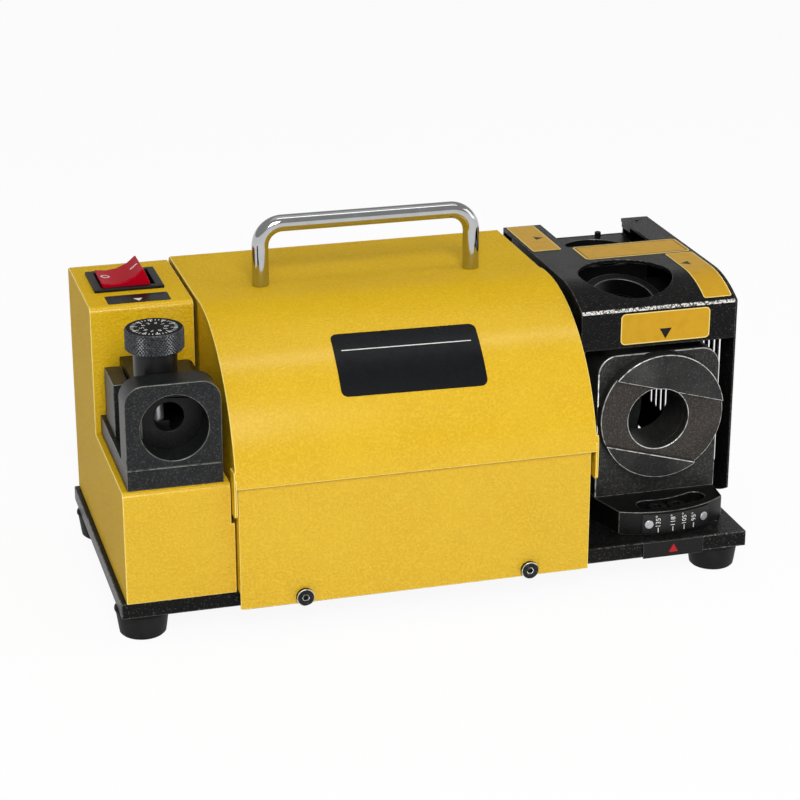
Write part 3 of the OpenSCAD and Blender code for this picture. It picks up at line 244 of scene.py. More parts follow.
def chipped_edge(name, bright, size, low, high):
    """Corner of the black coat with pale spots of about size where the noise is above low: paint rubbed
    through on the edges, a painted highlight on the cover's bend.
    """
    f = Finish(name)
    # rub marks the pale spots: rubbed-through paint on the edges, and the painted highlight on the bend.
    rub = f.noise(size, 3.0, 0.7).fade(low, high)
    colour = f.mix(rub, tone(24, 23, 22), tone(bright, bright - 3, bright - 9))
    return f.shade(base_color=colour, metallic=rub * 0.5, roughness=0.5 - 0.14 * rub,
                   normal=f.bump(f.noise(0.6, 3.0), 0.08, 0.7))


def blackened(name, low, high, bright):
    """Blackened steel with a blasted grain; low and high are its darker and lighter patches."""
    f = Finish(name)
    patch = f.noise(14, 4.0, 0.55)
    speck = f.noise(0.8, 2.0, 0.65)
    stain = f.noise(2.6, 4.0, 0.7)
    colour = f.mix(patch.fade(0.25, 0.75), tone(*low), tone(*high))
    colour = f.mix(stain.fade(0.62, 0.8) * 0.35, colour, tone(50, 43, 37))
    colour = f.mix(speck.fade(0.54, 0.68) * 0.5, colour, tone(bright, bright, bright - 3))
    colour = f.mix((1 - speck).fade(0.54, 0.68) * 0.5, colour, tone(14, 14, 14))
    return f.shade(base_color=colour, metallic=0.45, roughness=0.36 + 0.14 * stain, specular_ior_level=0.35,
                   normal=f.bump(speck + 0.4 * stain, 0.09, 0.7))


def oiled_black():
    """Blackened and oiled steel, darker than the blocks; on the gauge's body and stop, deep in the bore, its
    darkness is painted shade.
    """
    f = Finish("oiled_black")
    grain = f.noise(0.6, 3.0, 0.65)
    rub = f.noise(7, 5.0, 0.65).fade(0.6, 0.8)
    colour = f.mix(rub * 0.4, tone(14, 14, 14), tone(60, 58, 55))
    colour = f.mix(grain.fade(0.62, 0.74) * 0.35, colour, tone(110, 108, 104))
    return f.shade(base_color=colour, metallic=0.25, roughness=0.28 + 0.2 * grain, specular_ior_level=0.3,
                   normal=f.bump(grain, 0.1, 0.7))


def turned_steel():
    """Ring face with the fine circles of the lathe round its middle."""
    f = Finish("turned_steel")
    local = f.node("ShaderNodeVectorMath", {"operation": "SUBTRACT"},
                   {0: f.place, 1: (RING[0] * MM, 0, RING[1] * MM)})
    across = f.node("ShaderNodeSeparateXYZ", {}, {0: local}, "X")
    upward = f.node("ShaderNodeSeparateXYZ", {}, {0: local}, "Z")
    reach = across.maths("SQRT", across * across + upward * upward) / MM
    circles = across.maths("SINE", reach * 13 + 5 * f.noise(14, 3.0)) * 0.5 + 0.5
    speck = f.noise(0.8, 2.0, 0.6)
    colour = f.mix(f.noise(12, 3.0, 0.5).fade(0.3, 0.7), tone(46, 47, 47), tone(57, 57, 56))
    colour = f.mix(speck.fade(0.58, 0.72) * 0.4, colour, tone(120, 119, 116))
    return f.shade(base_color=colour, metallic=0.75, roughness=0.27 + 0.1 * speck, specular_ior_level=0.35,
                   normal=f.bump(circles + 0.35 * speck, 0.085, 1.0))


def worn_steel(name, dark, bright):
    """Edge where the blackening is rubbed off."""
    f = Finish(name)
    rub = f.noise(3.2, 4.0, 0.65).fade(0.32, 0.54)
    colour = f.mix(rub, tone(dark, dark, dark - 4), tone(bright, bright, bright - 5))
    return f.shade(base_color=colour, metallic=0.3 + 0.2 * rub, roughness=0.4 - 0.1 * rub,
                   normal=f.bump(f.noise(0.8, 2.0), 0.02, 0.5))


def channel_steel():
    """Floor of the ring's channel, browner than its raised parts."""
    f = Finish("channel_steel")
    streak = f.noise(0.9, 3.0, 0.65)
    colour = f.mix(f.noise(16, 3.0, 0.5).fade(0.3, 0.7), tone(49, 46, 43), tone(60, 56, 53))
    colour = f.mix(streak.fade(0.52, 0.68) * 0.5, colour, tone(112, 101, 94))
    colour = f.mix((1 - streak).fade(0.52, 0.68) * 0.45, colour, tone(18, 20, 17))
    return f.shade(base_color=colour, metallic=0.45, roughness=0.4 + 0.1 * streak, specular_ior_level=0.35,
                   normal=f.bump(streak, 0.08, 0.7))


def black_screws():
    f = Finish("black_screws")
    wear = f.noise(1.4, 3.0, 0.6)
    colour = f.mix(wear.fade(0.5, 0.75), tone(26, 26, 27), tone(66, 65, 64))
    return f.shade(base_color=colour, metallic=0.6, roughness=0.30 + 0.16 * wear,
                   normal=f.bump(f.noise(0.4, 2.0), 0.015, 0.5))


def bright_steel():
    f = Finish("bright_steel")
    turned = f.noise(0.5, 3.0, 0.6, (1.0, 1.0, 6.0))
    colour = f.mix(turned, tone(176, 177, 180), tone(214, 215, 218))
    return f.shade(base_color=colour, metallic=0.8, roughness=0.3 + 0.14 * turned,
                   normal=f.bump(turned, 0.012, 0.5))


def chrome():
    f = Finish("chrome")
    smear = f.noise(7, 4.0, 0.6)
    return f.shade(base_color=f.mix(smear, tone(172, 172, 172), tone(198, 199, 201)), metallic=1.0,
                   roughness=0.07 + 0.08 * smear.fade(0.45, 0.8),
                   normal=f.bump(f.noise(1.1, 2.0), 0.004, 0.4))


def rubber():
    f = Finish("rubber")
    bloom = f.noise(6, 4.0, 0.6)
    colour = f.mix(bloom.fade(0.35, 0.7), tone(18, 18, 19), tone(28, 28, 29))
    return f.shade(base_color=colour, specular_ior_level=0.16, roughness=0.5 + 0.12 * bloom,
                   normal=f.bump(f.noise(0.7, 3.0), 0.05, 0.6))


def red_plastic():
    f = Finish("red_plastic")
    depth = f.noise(9, 2.0)
    return f.shade(base_color=f.mix(depth, tone(160, 2, 24), tone(190, 4, 32)), roughness=0.2 + 0.08 * depth,
                   specular_ior_level=0.04, normal=f.bump(f.noise(2.4, 2.0), 0.01, 0.4))


def black_plastic():
    f = Finish("black_plastic")
    grain = f.noise(0.6, 2.0)
    return f.shade(base_color=f.mix(grain, tone(13, 13, 14), tone(21, 21, 22)), roughness=0.34 + 0.1 * grain,
                   specular_ior_level=0.2, normal=f.bump(grain, 0.02, 0.5))


def gloss_black():
    """Polished black oxide of the gauge's collar."""
    f = Finish("gloss_black")
    smear = f.noise(5, 4.0, 0.6)
    return f.shade(base_color=f.mix(smear, tone(16, 16, 17), tone(30, 30, 31)), metallic=0.15,
                   roughness=0.26 + 0.12 * smear, specular_ior_level=0.3,
                   normal=f.bump(f.noise(2.0, 2.0), 0.006, 0.4))


def scale_black():
    f = Finish("scale_black")
    dust = f.noise(2.2, 4.0, 0.6)
    return f.shade(base_color=f.mix(dust.fade(0.45, 0.75), tone(15, 15, 16), tone(36, 36, 36)),
                   metallic=0.2, roughness=0.34 + 0.14 * dust, normal=f.bump(f.noise(0.5, 2.0), 0.012, 0.5))


def brass():
    f = Finish("brass")
    tarnish = f.noise(2.5, 4.0, 0.6)
    return f.shade(base_color=f.mix(tarnish, tone(214, 184, 108), tone(176, 142, 74)), metallic=1.0,
                   roughness=0.22 + 0.2 * tarnish, normal=f.bump(tarnish, 0.01, 0.4))


def copper():
    """Winding: turns of enamelled wire round the core."""
    f = Finish("copper")
    turns = f.node("ShaderNodeTexWave", {"bands_direction": "X"},
                   {"Vector": f.place, "Scale": 330.0, "Distortion": 0.6})
    colour = f.mix(turns, tone(108, 50, 22), tone(196, 108, 58))
    return f.shade(base_color=colour, metallic=0.7, roughness=0.34, normal=f.bump(turns, 0.3, 0.8))


def aluminium():
    f = Finish("aluminium")
    cast = f.noise(1.2, 4.0, 0.65)
    return f.shade(base_color=f.mix(cast, tone(150, 151, 153), tone(182, 183, 185)), metallic=0.9,
                   roughness=0.42 + 0.14 * cast, normal=f.bump(cast, 0.05, 0.6))


def grey_paint():
    f = Finish("grey_paint")
    peel = f.noise(1.6, 2.0)
    return f.shade(base_color=f.mix(f.noise(12, 3.0), tone(84, 86, 90), tone(98, 100, 104)),
                   roughness=0.36 + 0.1 * peel, normal=f.bump(peel, 0.03, 0.5))


def laminations():
    """Stack of thin steel sheets."""
    f = Finish("laminations")
    sheets = f.node("ShaderNodeTexWave", {"bands_direction": "X"}, {"Vector": f.place, "Scale": 620.0})
    colour = f.mix(sheets, tone(84, 84, 88), tone(146, 146, 150))
    return f.shade(base_color=colour, metallic=0.8, roughness=0.42, normal=f.bump(sheets, 0.1, 0.7))


def abrasive():
    """Resin-bonded grit of the wheel's rim."""
    f = Finish("abrasive")
    grit = f.noise(0.45, 2.0, 0.7)
    colour = f.mix(grit.fade(0.35, 0.65), tone(34, 42, 38), tone(66, 76, 70))
    return f.shade(base_color=colour, roughness=0.8, normal=f.bump(grit, 0.12, 0.9))


def wheel_core():
    """Green-grey moulded body of the wheel."""
    f = Finish("wheel_core")
    grit = f.noise(0.6, 3.0, 0.65)
    colour = f.mix(grit.fade(0.35, 0.7), tone(30, 44, 36), tone(58, 76, 64))
    return f.shade(base_color=colour, roughness=0.55, normal=f.bump(grit, 0.06, 0.7))


def knob_top():
    """Black disc with white graduations round its rim."""
    f = Finish("knob_top")
    local = f.node("ShaderNodeVectorMath", {"operation": "SUBTRACT"},
                   {0: f.place, 1: (KNOB[0] * MM, KNOB[1] * MM, 0)})
    across = f.node("ShaderNodeSeparateXYZ", {}, {0: local}, "X")
    along = f.node("ShaderNodeSeparateXYZ", {}, {0: local}, "Y")
    reach = across.maths("SQRT", across * across + along * along) / MM
    turn = across.maths("ARCTAN2", along, across) / math.tau + 0.5
    fine = across.maths("ABSOLUTE", across.maths("FRACT", turn * 40) - 0.5)
    bold = across.maths("ABSOLUTE", across.maths("FRACT", turn * 10) - 0.5)
    fine_mark = (1 - fine.fade(0.1, 0.13)) * reach.fade(9.6, 9.8)
    bold_mark = (1 - bold.fade(0.034, 0.044)) * reach.fade(7.8, 8.0)
    marks = fine_mark.maths("MAXIMUM", fine_mark, bold_mark) * (1 - reach.fade(11.2, 11.4))
    smear = f.noise(3, 4.0, 0.6)
    colour = f.mix(marks, f.mix(smear, tone(7, 7, 9), tone(14, 15, 18)), tone(236, 236, 232))
    return f.shade(base_color=colour, roughness=0.4 + 0.12 * smear, specular_ior_level=0.04,
                   normal=f.bump(f.noise(0.6, 2.0), 0.01, 0.4))


def knurled_steel():
    f = Finish("knurled_steel")
    wear = f.noise(1.1, 3.0, 0.6)
    colour = f.mix(wear.fade(0.35, 0.7), tone(48, 50, 52), tone(88, 90, 93))
    return f.shade(base_color=colour, metallic=0.6, roughness=0.3 + 0.12 * wear,
                   normal=f.bump(f.noise(0.3, 2.0), 0.01, 0.4))


def printed(name, red, green, blue, rough=0.3, gloss=0.2):
    """Printed film: nearly even colour with a faint grain and scuffs."""
    f = Finish(name)
    scuff = f.noise(5, 4.0, 0.65)
    shade = [max(0, step - 7) for step in (red, green, blue)]
    colour = f.mix(scuff.fade(0.4, 0.75), tone(red, green, blue), tone(*shade))
    return f.shade(base_color=colour, roughness=rough + 0.14 * scuff, specular_ior_level=gloss,
                   normal=f.bump(f.noise(0.9, 2.0), 0.006, 0.4))


FINISHES = {
    "yellow_coat": yellow_coat(), "black_coat": black_coat(),
    "dark_steel": blackened("dark_steel", (46, 47, 46), (56, 55, 53), 108),
    "black_screws": black_screws(), "bright_steel": bright_steel(), "chrome": chrome(),
    "rubber": rubber(), "red_plastic": red_plastic(), "black_plastic": black_plastic(),
    "scale_black": scale_black(), "brass": brass(), "copper": copper(), "aluminium": aluminium(),
    "grey_paint": grey_paint(), "laminations": laminations(), "abrasive": abrasive(),
}
SLOT_OF = {part["node"]: part["material_slot"] for part in frame["record"]["subparts"]}
WORN_STEEL = worn_steel("worn_steel", 96, 222)
RUBBED_STEEL = worn_steel("rubbed_steel", 46, 104)
CHIPPED_EDGE = chipped_edge("chipped_edge", 128, 1.5, 0.5, 0.66)
# Painted highlight along the middle of the cover's bend.
BEND_HIGHLIGHT = chipped_edge("painted_bend_highlight", 240, 1.0, 0.44, 0.54)
YELLOW_EDGE_HIGHLIGHT = yellow_edge()
CHANNEL_STEEL = channel_steel()
OILED_BLACK_AND_BORE_SHADE = oiled_black()
TURNED_STEEL = turned_steel()
GAUGE_STEEL = blackened("gauge_steel", (27, 29, 31), (36, 38, 39), 84)
GLOSS_BLACK = gloss_black()
WHEEL_CORE = wheel_core()
KNOB_TOP = knob_top()
KNURLED_STEEL = knurled_steel()
AMBER = printed("label_amber", 200, 153, 28)
PALE = printed("label_border", 236, 212, 128)
INK = printed("label_ink", 18, 18, 18)
FILM_BLACK = printed("label_black", 20, 21, 23, 0.22, 0.12)
WHITE = printed("mark_white", 226, 226, 222)
POINTER_RED = printed("pointer_red", 176, 30, 34)


# ---- making pieces ----
def add_piece(name, mesh, finishes, body):
    """Turns a finished bmesh into an object that rides on a body."""
    data = bpy.data.meshes.new(name)
    mesh.to_mesh(data)
    mesh.free()
    for finish in finishes:
        data.materials.append(finish)
    piece = bpy.data.objects.new(name, data)
    bpy.context.scene.collection.objects.link(piece)
    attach(piece, body)
    return piece


def smooth_faces(mesh, angle=CORNER_ANGLE):
    """Smooth shading, with edges sharper than the angle kept crisp."""
    for face in mesh.faces:
        face.smooth = True
    for edge in mesh.edges:
        edge.smooth = edge.calc_face_angle(0) < math.radians(angle)


def mark_corners(mesh, angle):
    """Outer corners sharper than the angle get the weight that round_edges follows."""
    layers = mesh.edges.layers.float
    weight = layers.get("bevel_weight_edge") or layers.new("bevel_weight_edge")
    for edge in mesh.edges:
        edge[weight] = float(edge.is_convex and edge.calc_face_angle(0) > math.radians(angle))


def round_edges(piece, width, segments, edge_index):
    """Rounds the marked corners; edge_index is the finish of the rounding, or -1 for the piece's own."""
    bevel = piece.modifiers.new("rounded_edges", "BEVEL")
    bevel.width = width * MM
    bevel.segments = segments
    bevel.limit_method = "WEIGHT"
    bevel.material = edge_index
    bevel.harden_normals = True
    bevel.use_clamp_overlap = False
    return piece


def merged_copy(node, angle=CORNER_ANGLE):
    """A copy of a CAD piece's mesh with its flat faces whole."""
    mesh = bmesh.new()
    mesh.from_mesh(frame["nodes"][node].data)
    bmesh.ops.remove_doubles(mesh, verts=mesh.verts, dist=0.002 * MM)
    bmesh.ops.dissolve_limit(mesh, angle_limit=math.radians(0.5), verts=mesh.verts, edges=mesh.edges)
    for face in mesh.faces:
        face.material_index = 0
    smooth_faces(mesh, angle)
    mark_corners(mesh, angle)
    return mesh


def soften(node, mesh, width, segments, finishes, edge_index, main=None):
    """The piece that stands for a CAD node, with its edges rounded."""
    finishes = [main or FINISHES[SLOT_OF[node]]] + finishes
    piece = add_piece(node + "_rounded", mesh, finishes, frame["nodes"][node]["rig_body"])
    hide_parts(node)
    return round_edges(piece, width, segments, edge_index)


def softened(node, width, segments=2, edge=None, angle=CORNER_ANGLE, main=None):
    """A CAD piece again with rounded edges, which may have a finish of their own."""
    finishes = [edge] if edge else []
    edge_index = 1 if edge else -1
    return soften(node, merged_copy(node, angle), width, segments, finishes, edge_index, main)


def flat_shape(width, depth, corner, insets):
    """Rounded rectangle with rings of other finishes: insets lists (width of ring, finish index)."""
    mesh = bmesh.new()
    bmesh.ops.create_grid(mesh, x_segments=1, y_segments=1, size=0.5)
    bmesh.ops.scale(mesh, vec=(width, depth, 1), verts=mesh.verts)
    bmesh.ops.bevel(mesh, geom=mesh.verts[:], offset=corner, affect="VERTICES", segments=5,
                    profile=0.5, material=-1)
    middle = mesh.faces[:]
    for ring_width, finish in insets:
        ring = bmesh.ops.inset_region(mesh, faces=middle, thickness=ring_width, use_even_offset=True,
                                      use_boundary=True)
        for face in ring["faces"]:
            face.material_index = finish
    return mesh


def thicken(mesh, thick, lift=0.0):
    """A flat shape gets a thickness, up from lift."""
    top = bmesh.ops.extrude_face_region(mesh, geom=mesh.faces[:])
    raised = [part for part in top["geom"] if isinstance(part, bmesh.types.BMVert)]
    bmesh.ops.translate(mesh, vec=(0, 0, thick), verts=raised)
    bmesh.ops.translate(mesh, vec=(0, 0, lift), verts=mesh.verts)
    bmesh.ops.recalc_face_normals(mesh, faces=mesh.faces)
    return mesh


def cut_rows(mesh, step, reach):
    """Cuts along X every step, so that the shape can bend."""
    count = int(reach / step)
    for row in range(-count, count + 1):
        everything = mesh.verts[:] + mesh.edges[:] + mesh.faces[:]
        bmesh.ops.bisect_plane(mesh, geom=everything, plane_co=(0, row * step, 0), plane_no=(0, 1, 0))
    return mesh


def lay(mesh, place):
    """Moves every point from its flat place, in millimetres, to where place puts it."""
    for vert in mesh.verts:
        vert.co = Vector(place(*vert.co)) * MM
    bmesh.ops.recalc_face_normals(mesh, faces=mesh.faces)
    return mesh


def on_plane(centre, turn=0.0):
    """Flat on a level face, turned about its centre."""
    c, s = math.cos(turn), math.sin(turn)

    def place(x, y, z):
        return centre[0] + c * x - s * y, centre[1] + s * x + c * y, centre[2] + z
    return place


def on_hood(centre_x, angle, turn=0.0):
    """On the hood's curved front; angle is up from level."""
    c, s = math.cos(turn), math.sin(turn)

    def place(x, y, z):
        along, up = c * x - s * y, s * x + c * y
        a = angle + up / HOOD_RADIUS
        reach = HOOD_RADIUS + z
        return centre_x + along, HOOD_CENTRE[0] - reach * math.cos(a), HOOD_CENTRE[1] + reach * math.sin(a)
    return place


def on_cover(centre_x, start_y):
    """Down the head cover's top and its bend: y counts forward from start_y."""

    def place(x, y, z):
        front_y = start_y + y
        if front_y > COVER_FLAT_Y:
            return centre_x + x, front_y, COVER_TOP + z
        a = (COVER_FLAT_Y - front_y) / COVER_RADIUS
        reach = COVER_RADIUS + z
        return (centre_x + x, COVER_FLAT_Y - reach * math.sin(a),
                COVER_TOP - COVER_RADIUS + reach * math.cos(a))
    return place


def on_apron(centre_x, centre_z):
    """On the cover's upright apron."""
    def place(x, y, z):
        return centre_x + x, COVER_APRON_Y - z, centre_z + y
    return place


def on_scale(degrees, centre_z):
    """On the angle scale, with the shape's own X running up."""
    def place(x, y, z):
        a = math.radians(degrees) - y / SCALE_RADIUS
        reach = SCALE_RADIUS + z
        return PIVOT[0] + reach * math.sin(a), PIVOT[1] - reach * math.cos(a), centre_z + x
    return place


def on_rocker(x0, slope):
    """On one half of the rocker's hollow top."""
    base = Matrix.Translation(Vector(ROCKER)) @ Matrix.Rotation(-ROCKER_TILT, 4, "Y")
    base = base @ Matrix.Translation(Vector(x0)) @ Matrix.Rotation(slope, 4, "Y")

    def place(x, y, z):
        return base @ Vector((x, y, z))
    return place


def label(name, size, corner, insets, finishes, place, step=0.0):
    """Film on the frame; step is how far apart it is cut so that it can bend."""
    mesh = flat_shape(size[0], size[1], corner, insets)
    if step:
        cut_rows(mesh, step, size[1] / 2)
    thicken(mesh, LABEL_THICK)
    return add_piece(name, lay(mesh, place), finishes, "frame")


def arrow(name, length, width, place, finish, turn=0.0):
    """Printed arrowhead that points along +X before its turn."""
    mesh = bmesh.new()
    head = bmesh.ops.create_circle(mesh, cap_ends=True, radius=width / math.sqrt(3), segments=3)["verts"]
    bmesh.ops.rotate(mesh, verts=head, matrix=Matrix.Rotation(-math.pi / 2, 3, "Z"), cent=(0, 0, 0))
    tip = max(vert.co.x for vert in head)
    bmesh.ops.translate(mesh, vec=(length / 2 - tip, 0, 0), verts=head)
    bmesh.ops.rotate(mesh, verts=mesh.verts, matrix=Matrix.Rotation(turn, 3, "Z"), cent=(0, 0, 0))
    thicken(mesh, INK_THICK, LABEL_THICK)
    return add_piece(name, lay(mesh, place), [finish], "frame")


def lettering(name, words, height, place, finish, body, thick=INK_THICK, lift=0.0):
    """Plain figures as a thin mesh."""
    curve = bpy.data.curves.new(name, "FONT")
    curve.body = words
    curve.size = height / 0.7
    curve.align_x = "CENTER"
    curve.align_y = "CENTER"
    curve.resolution_u = 5
    holder = bpy.data.objects.new(name + "_outline", curve)
    bpy.context.scene.collection.objects.link(holder)
    bpy.context.view_layer.update()
    flat = bpy.data.meshes.new_from_object(holder.evaluated_get(bpy.context.evaluated_depsgraph_get()))
    mesh = bmesh.new()
    mesh.from_mesh(flat)
    bpy.data.objects.remove(holder)
    bpy.data.meshes.remove(flat)
    bmesh.ops.remove_doubles(mesh, verts=mesh.verts, dist=0.001)
    thicken(mesh, thick, lift)
    for face in mesh.faces:
        face.material_index = 0
    return add_piece(name, lay(mesh, place), [finish], body)


# ---- pieces ----
def carried_over():
    """Every CAD piece gets the finish of its slot."""
    for node, piece in frame["nodes"].items():
        piece.data.materials.clear()
        piece.data.materials.append(FINISHES[SLOT_OF[node]])
    frame["nodes"]["grinding_wheel"].data.materials[0] = WHEEL_CORE
    frame["nodes"]["foot_screws"].data.materials[0] = FINISHES["black_screws"]


def head_cover():
    """Black cover of the head, with its bend rounded and a painted highlight along the bend's middle."""
    near = 0.05 * MM
    mesh = merged_copy("head_cover")
    at_apron = [vert for vert in mesh.verts if abs(vert.co.y - COVER_APRON_Y * MM) < near]
    crest = max(vert.co.z for vert in at_apron)
    bend = [edge for edge in mesh.edges
            if all(abs(vert.co.y - COVER_APRON_Y * MM) < near and abs(vert.co.z - crest) < near
                   for vert in edge.verts)]
    rounded = bmesh.ops.bevel(mesh, geom=bend, offset=BEND_ROUND * MM, affect="EDGES", segments=5,
                              profile=0.5, material=0)["faces"]
    middle = sum(face.normal.z for face in rounded) / len(rounded)
    # Faces near the middle slope of the bend get the painted highlight.
    for face in rounded:
        if abs(face.normal.z - middle) < BEND_HIGHLIGHT_SPREAD:
            face.material_index = 2
    smooth_faces(mesh)
    mark_corners(mesh, CORNER_ANGLE)
    soften("head_cover", mesh, 0.3, 2, [CHIPPED_EDGE, BEND_HIGHLIGHT], 1)


def sheet_metal():
    """Yellow covers, the head's panels and the base plate."""
    for node in ("hood", "left_housing", "lower_front_panel"):
        # Their rounded edges get the painted edge highlight.
        softened(node, 0.4, 3, YELLOW_EDGE_HIGHLIGHT)
    softened("side_plate", 0.3, 2, CHIPPED_EDGE)
    softened("head_rear_panel", 0.35)
    head_cover()
    softened("base_plate", 0.6, 3, CHIPPED_EDGE)


def swivel_block():
    """Bored block of the point-angle station; its bore's edges stay sharp behind the ring."""
    mesh = merged_copy("swivel_block")
    weight = mesh.edges.layers.float["bevel_weight_edge"]
    for edge in mesh.edges:
        middle = (edge.verts[0].co + edge.verts[1].co) / 2 / MM
        if math.hypot(middle.x - PORT[0], middle.z - PORT[1]) < PORT_RADIUS + 1:
            edge[weight] = 0
    soften("swivel_block", mesh, 0.5, 2, [WORN_STEEL], 1)


def cam_ring():
    """Ring with a turned face and a browner floor in its channel."""
    mesh = merged_copy("cam_ring")
    for face in mesh.faces:
        if face.normal.y < -0.9:
            floor_of_channel = abs(face.calc_center_median().y - CHANNEL_Y * MM) < 0.3 * MM
            face.material_index = 2 if floor_of_channel else 3
    soften("cam_ring", mesh, 0.4, 2, [WORN_STEEL, CHANNEL_STEEL, TURNED_STEEL], 1)


def steel_blocks():
    """Blocks, plates and ring of the gauge, the ports and the point-angle station."""
    swivel_block()
    for node, width in (("gauge_block", 0.45), ("gauge_base", 0.4), ("gauge_side_plate", 0.4)):
        softened(node, width, 2, RUBBED_STEEL, main=GAUGE_STEEL)
    # The gauge's body and stop sit deep in the bore: their dark finish is painted shade of the bore.
    softened("gauge_body", 0.45, 2, main=OILED_BLACK_AND_BORE_SHADE)
    softened("gauge_stop", 0.2, 2, main=OILED_BLACK_AND_BORE_SHADE)
    for node, width in (("rear_port_block", 0.4), ("top_port", 0.4), ("swivel_base", 0.4),
                        ("pointer_plate", 0.15)):
        softened(node, width, 2, RUBBED_STEEL, main=OILED_BLACK_AND_BORE_SHADE)
    softened("gauge_collar", 0.5, 3, main=GLOSS_BLACK)
    cam_ring()
    softened("angle_scale", 0.15)


def small_parts():
    """Feet, handle, switch, inlet and screws."""
    softened("feet", 1.3, 4)
    softened("handle", 0.6, 3)
    softened("switch_body", 0.5, 3)
    softened("switch_rocker", 0.7, 4, None, 25)
    softened("power_inlet", 0.4, 2)
    softened("panel_screws", 0.35, 3, WORN_STEEL)
    for node in ("clamp_screws", "scale_screws", "cover_screws", "rear_screws",
                 "port_screws", "gauge_screws", "ring_screws", "inlet_screws", "pivot_pin"):
        softened(node, 0.35, 3)


def knob():
    """Knurled knob: a diamond grid on its side and a graduated top."""
    columns, rows, chamfer, relief = 54, 10, 0.8, 0.45
    height = KNOB_Z[1] - KNOB_Z[0]
    mesh = bmesh.new()
    bmesh.ops.create_cone(mesh, cap_ends=True, segments=columns * 2, radius1=KNOB_RADIUS - chamfer,
                          radius2=KNOB_RADIUS - chamfer, depth=height)
    sides = [edge for edge in mesh.edges if abs(edge.verts[0].co.z - edge.verts[1].co.z) > 1]
    bmesh.ops.subdivide_edges(mesh, edges=sides, cuts=rows + 1, use_grid_fill=True)
    step = height / (rows + 2)
    for vert in mesh.verts:
        row = round((vert.co.z + height / 2) / step)
        if 0 < row < rows + 2:
            column = round(math.atan2(vert.co.y, vert.co.x) / math.pi * columns)
            reach = KNOB_RADIUS - relief * ((row + column) % 2)
            spread = reach / math.hypot(vert.co.x, vert.co.y)
            vert.co.x *= spread
            vert.co.y *= spread
            vert.co.z = -height / 2 + chamfer + (row - 1) * (height - 2 * chamfer) / rows
    for face in mesh.faces:
        face.material_index = 0 if len(face.verts) > 8 else 1
    knurled = [face for face in mesh.faces
               if len(face.verts) == 4 and abs(face.calc_center_median().z) < height / 2 - chamfer]
    grooves = [[vert for vert in face.verts if math.hypot(vert.co.x, vert.co.y) < KNOB_RADIUS - relief / 2]
               for face in knurled]
    for groove in grooves:
        if len(groove) == 2:
            bmesh.ops.connect_verts(mesh, verts=groove)
    bmesh.ops.translate(mesh, vec=(KNOB[0], KNOB[1], sum(KNOB_Z) / 2), verts=mesh.verts)
    bmesh.ops.scale(mesh, vec=(MM, MM, MM), verts=mesh.verts)
    smooth_faces(mesh, 20)
    piece = add_piece("knurled_knob", mesh, [KNOB_TOP, KNURLED_STEEL], "gauge_dial")
    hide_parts("gauge_knob")
    for figure in range(10):
        a = math.radians(36 * figure)
        spot = (KNOB[0] + FIGURE_RADIUS * math.cos(a), KNOB[1] + FIGURE_RADIUS * math.sin(a), KNOB_Z[1])
        place = on_plane(spot, a - math.pi / 2)
        lettering(f"knob_figure_{figure}", str(figure), 2.3, place, WHITE, "gauge_dial")


def switch_marks():
    """O and I on the rocker's two halves."""
    x, z = SWITCH_MARK
    off_place = on_rocker((-x, 0, z), SWITCH_SLOPE)
    on_place = on_rocker((x, 0, z), -SWITCH_SLOPE)
    lettering("switch_off_mark", "O", 4.4, off_place, WHITE, "rocker", 0.12, -0.05)
    bar = flat_shape(4.6, 0.7, 0.2, [])
    thicken(bar, 0.25, -0.1)
    add_piece("switch_on_mark", lay(bar, on_place), [WHITE], "rocker")


def scale_marks():
    """Point angles on the swivelling scale, each with its line."""
    for words, degrees in SCALE_MARKS:
        name = "scale_mark_" + words[:-1]
        lettering(name, words, 2.5, on_scale(degrees, SCALE_TEXT_Z), WHITE, "swivel")
        line = flat_shape(2.6, 0.45, 0.1, [])
        thicken(line, INK_THICK)
        add_piece(name + "_line", lay(line, on_scale(degrees, SCALE_Z[0] + 1.6)), [WHITE], "swivel")


def pointer_mark():
    """Red pointer on the plate under the scale."""
    mesh = bmesh.new()
    bmesh.ops.create_circle(mesh, cap_ends=True, radius=POINTER_RADIUS, segments=3)
    thicken(mesh, 0.06)

    def place(x, y, z):
        return POINTER[0] + x, POINTER[1] - z, POINTER[2] + y
    add_piece("pointer_mark", lay(mesh, place), [POINTER_RED], "frame")


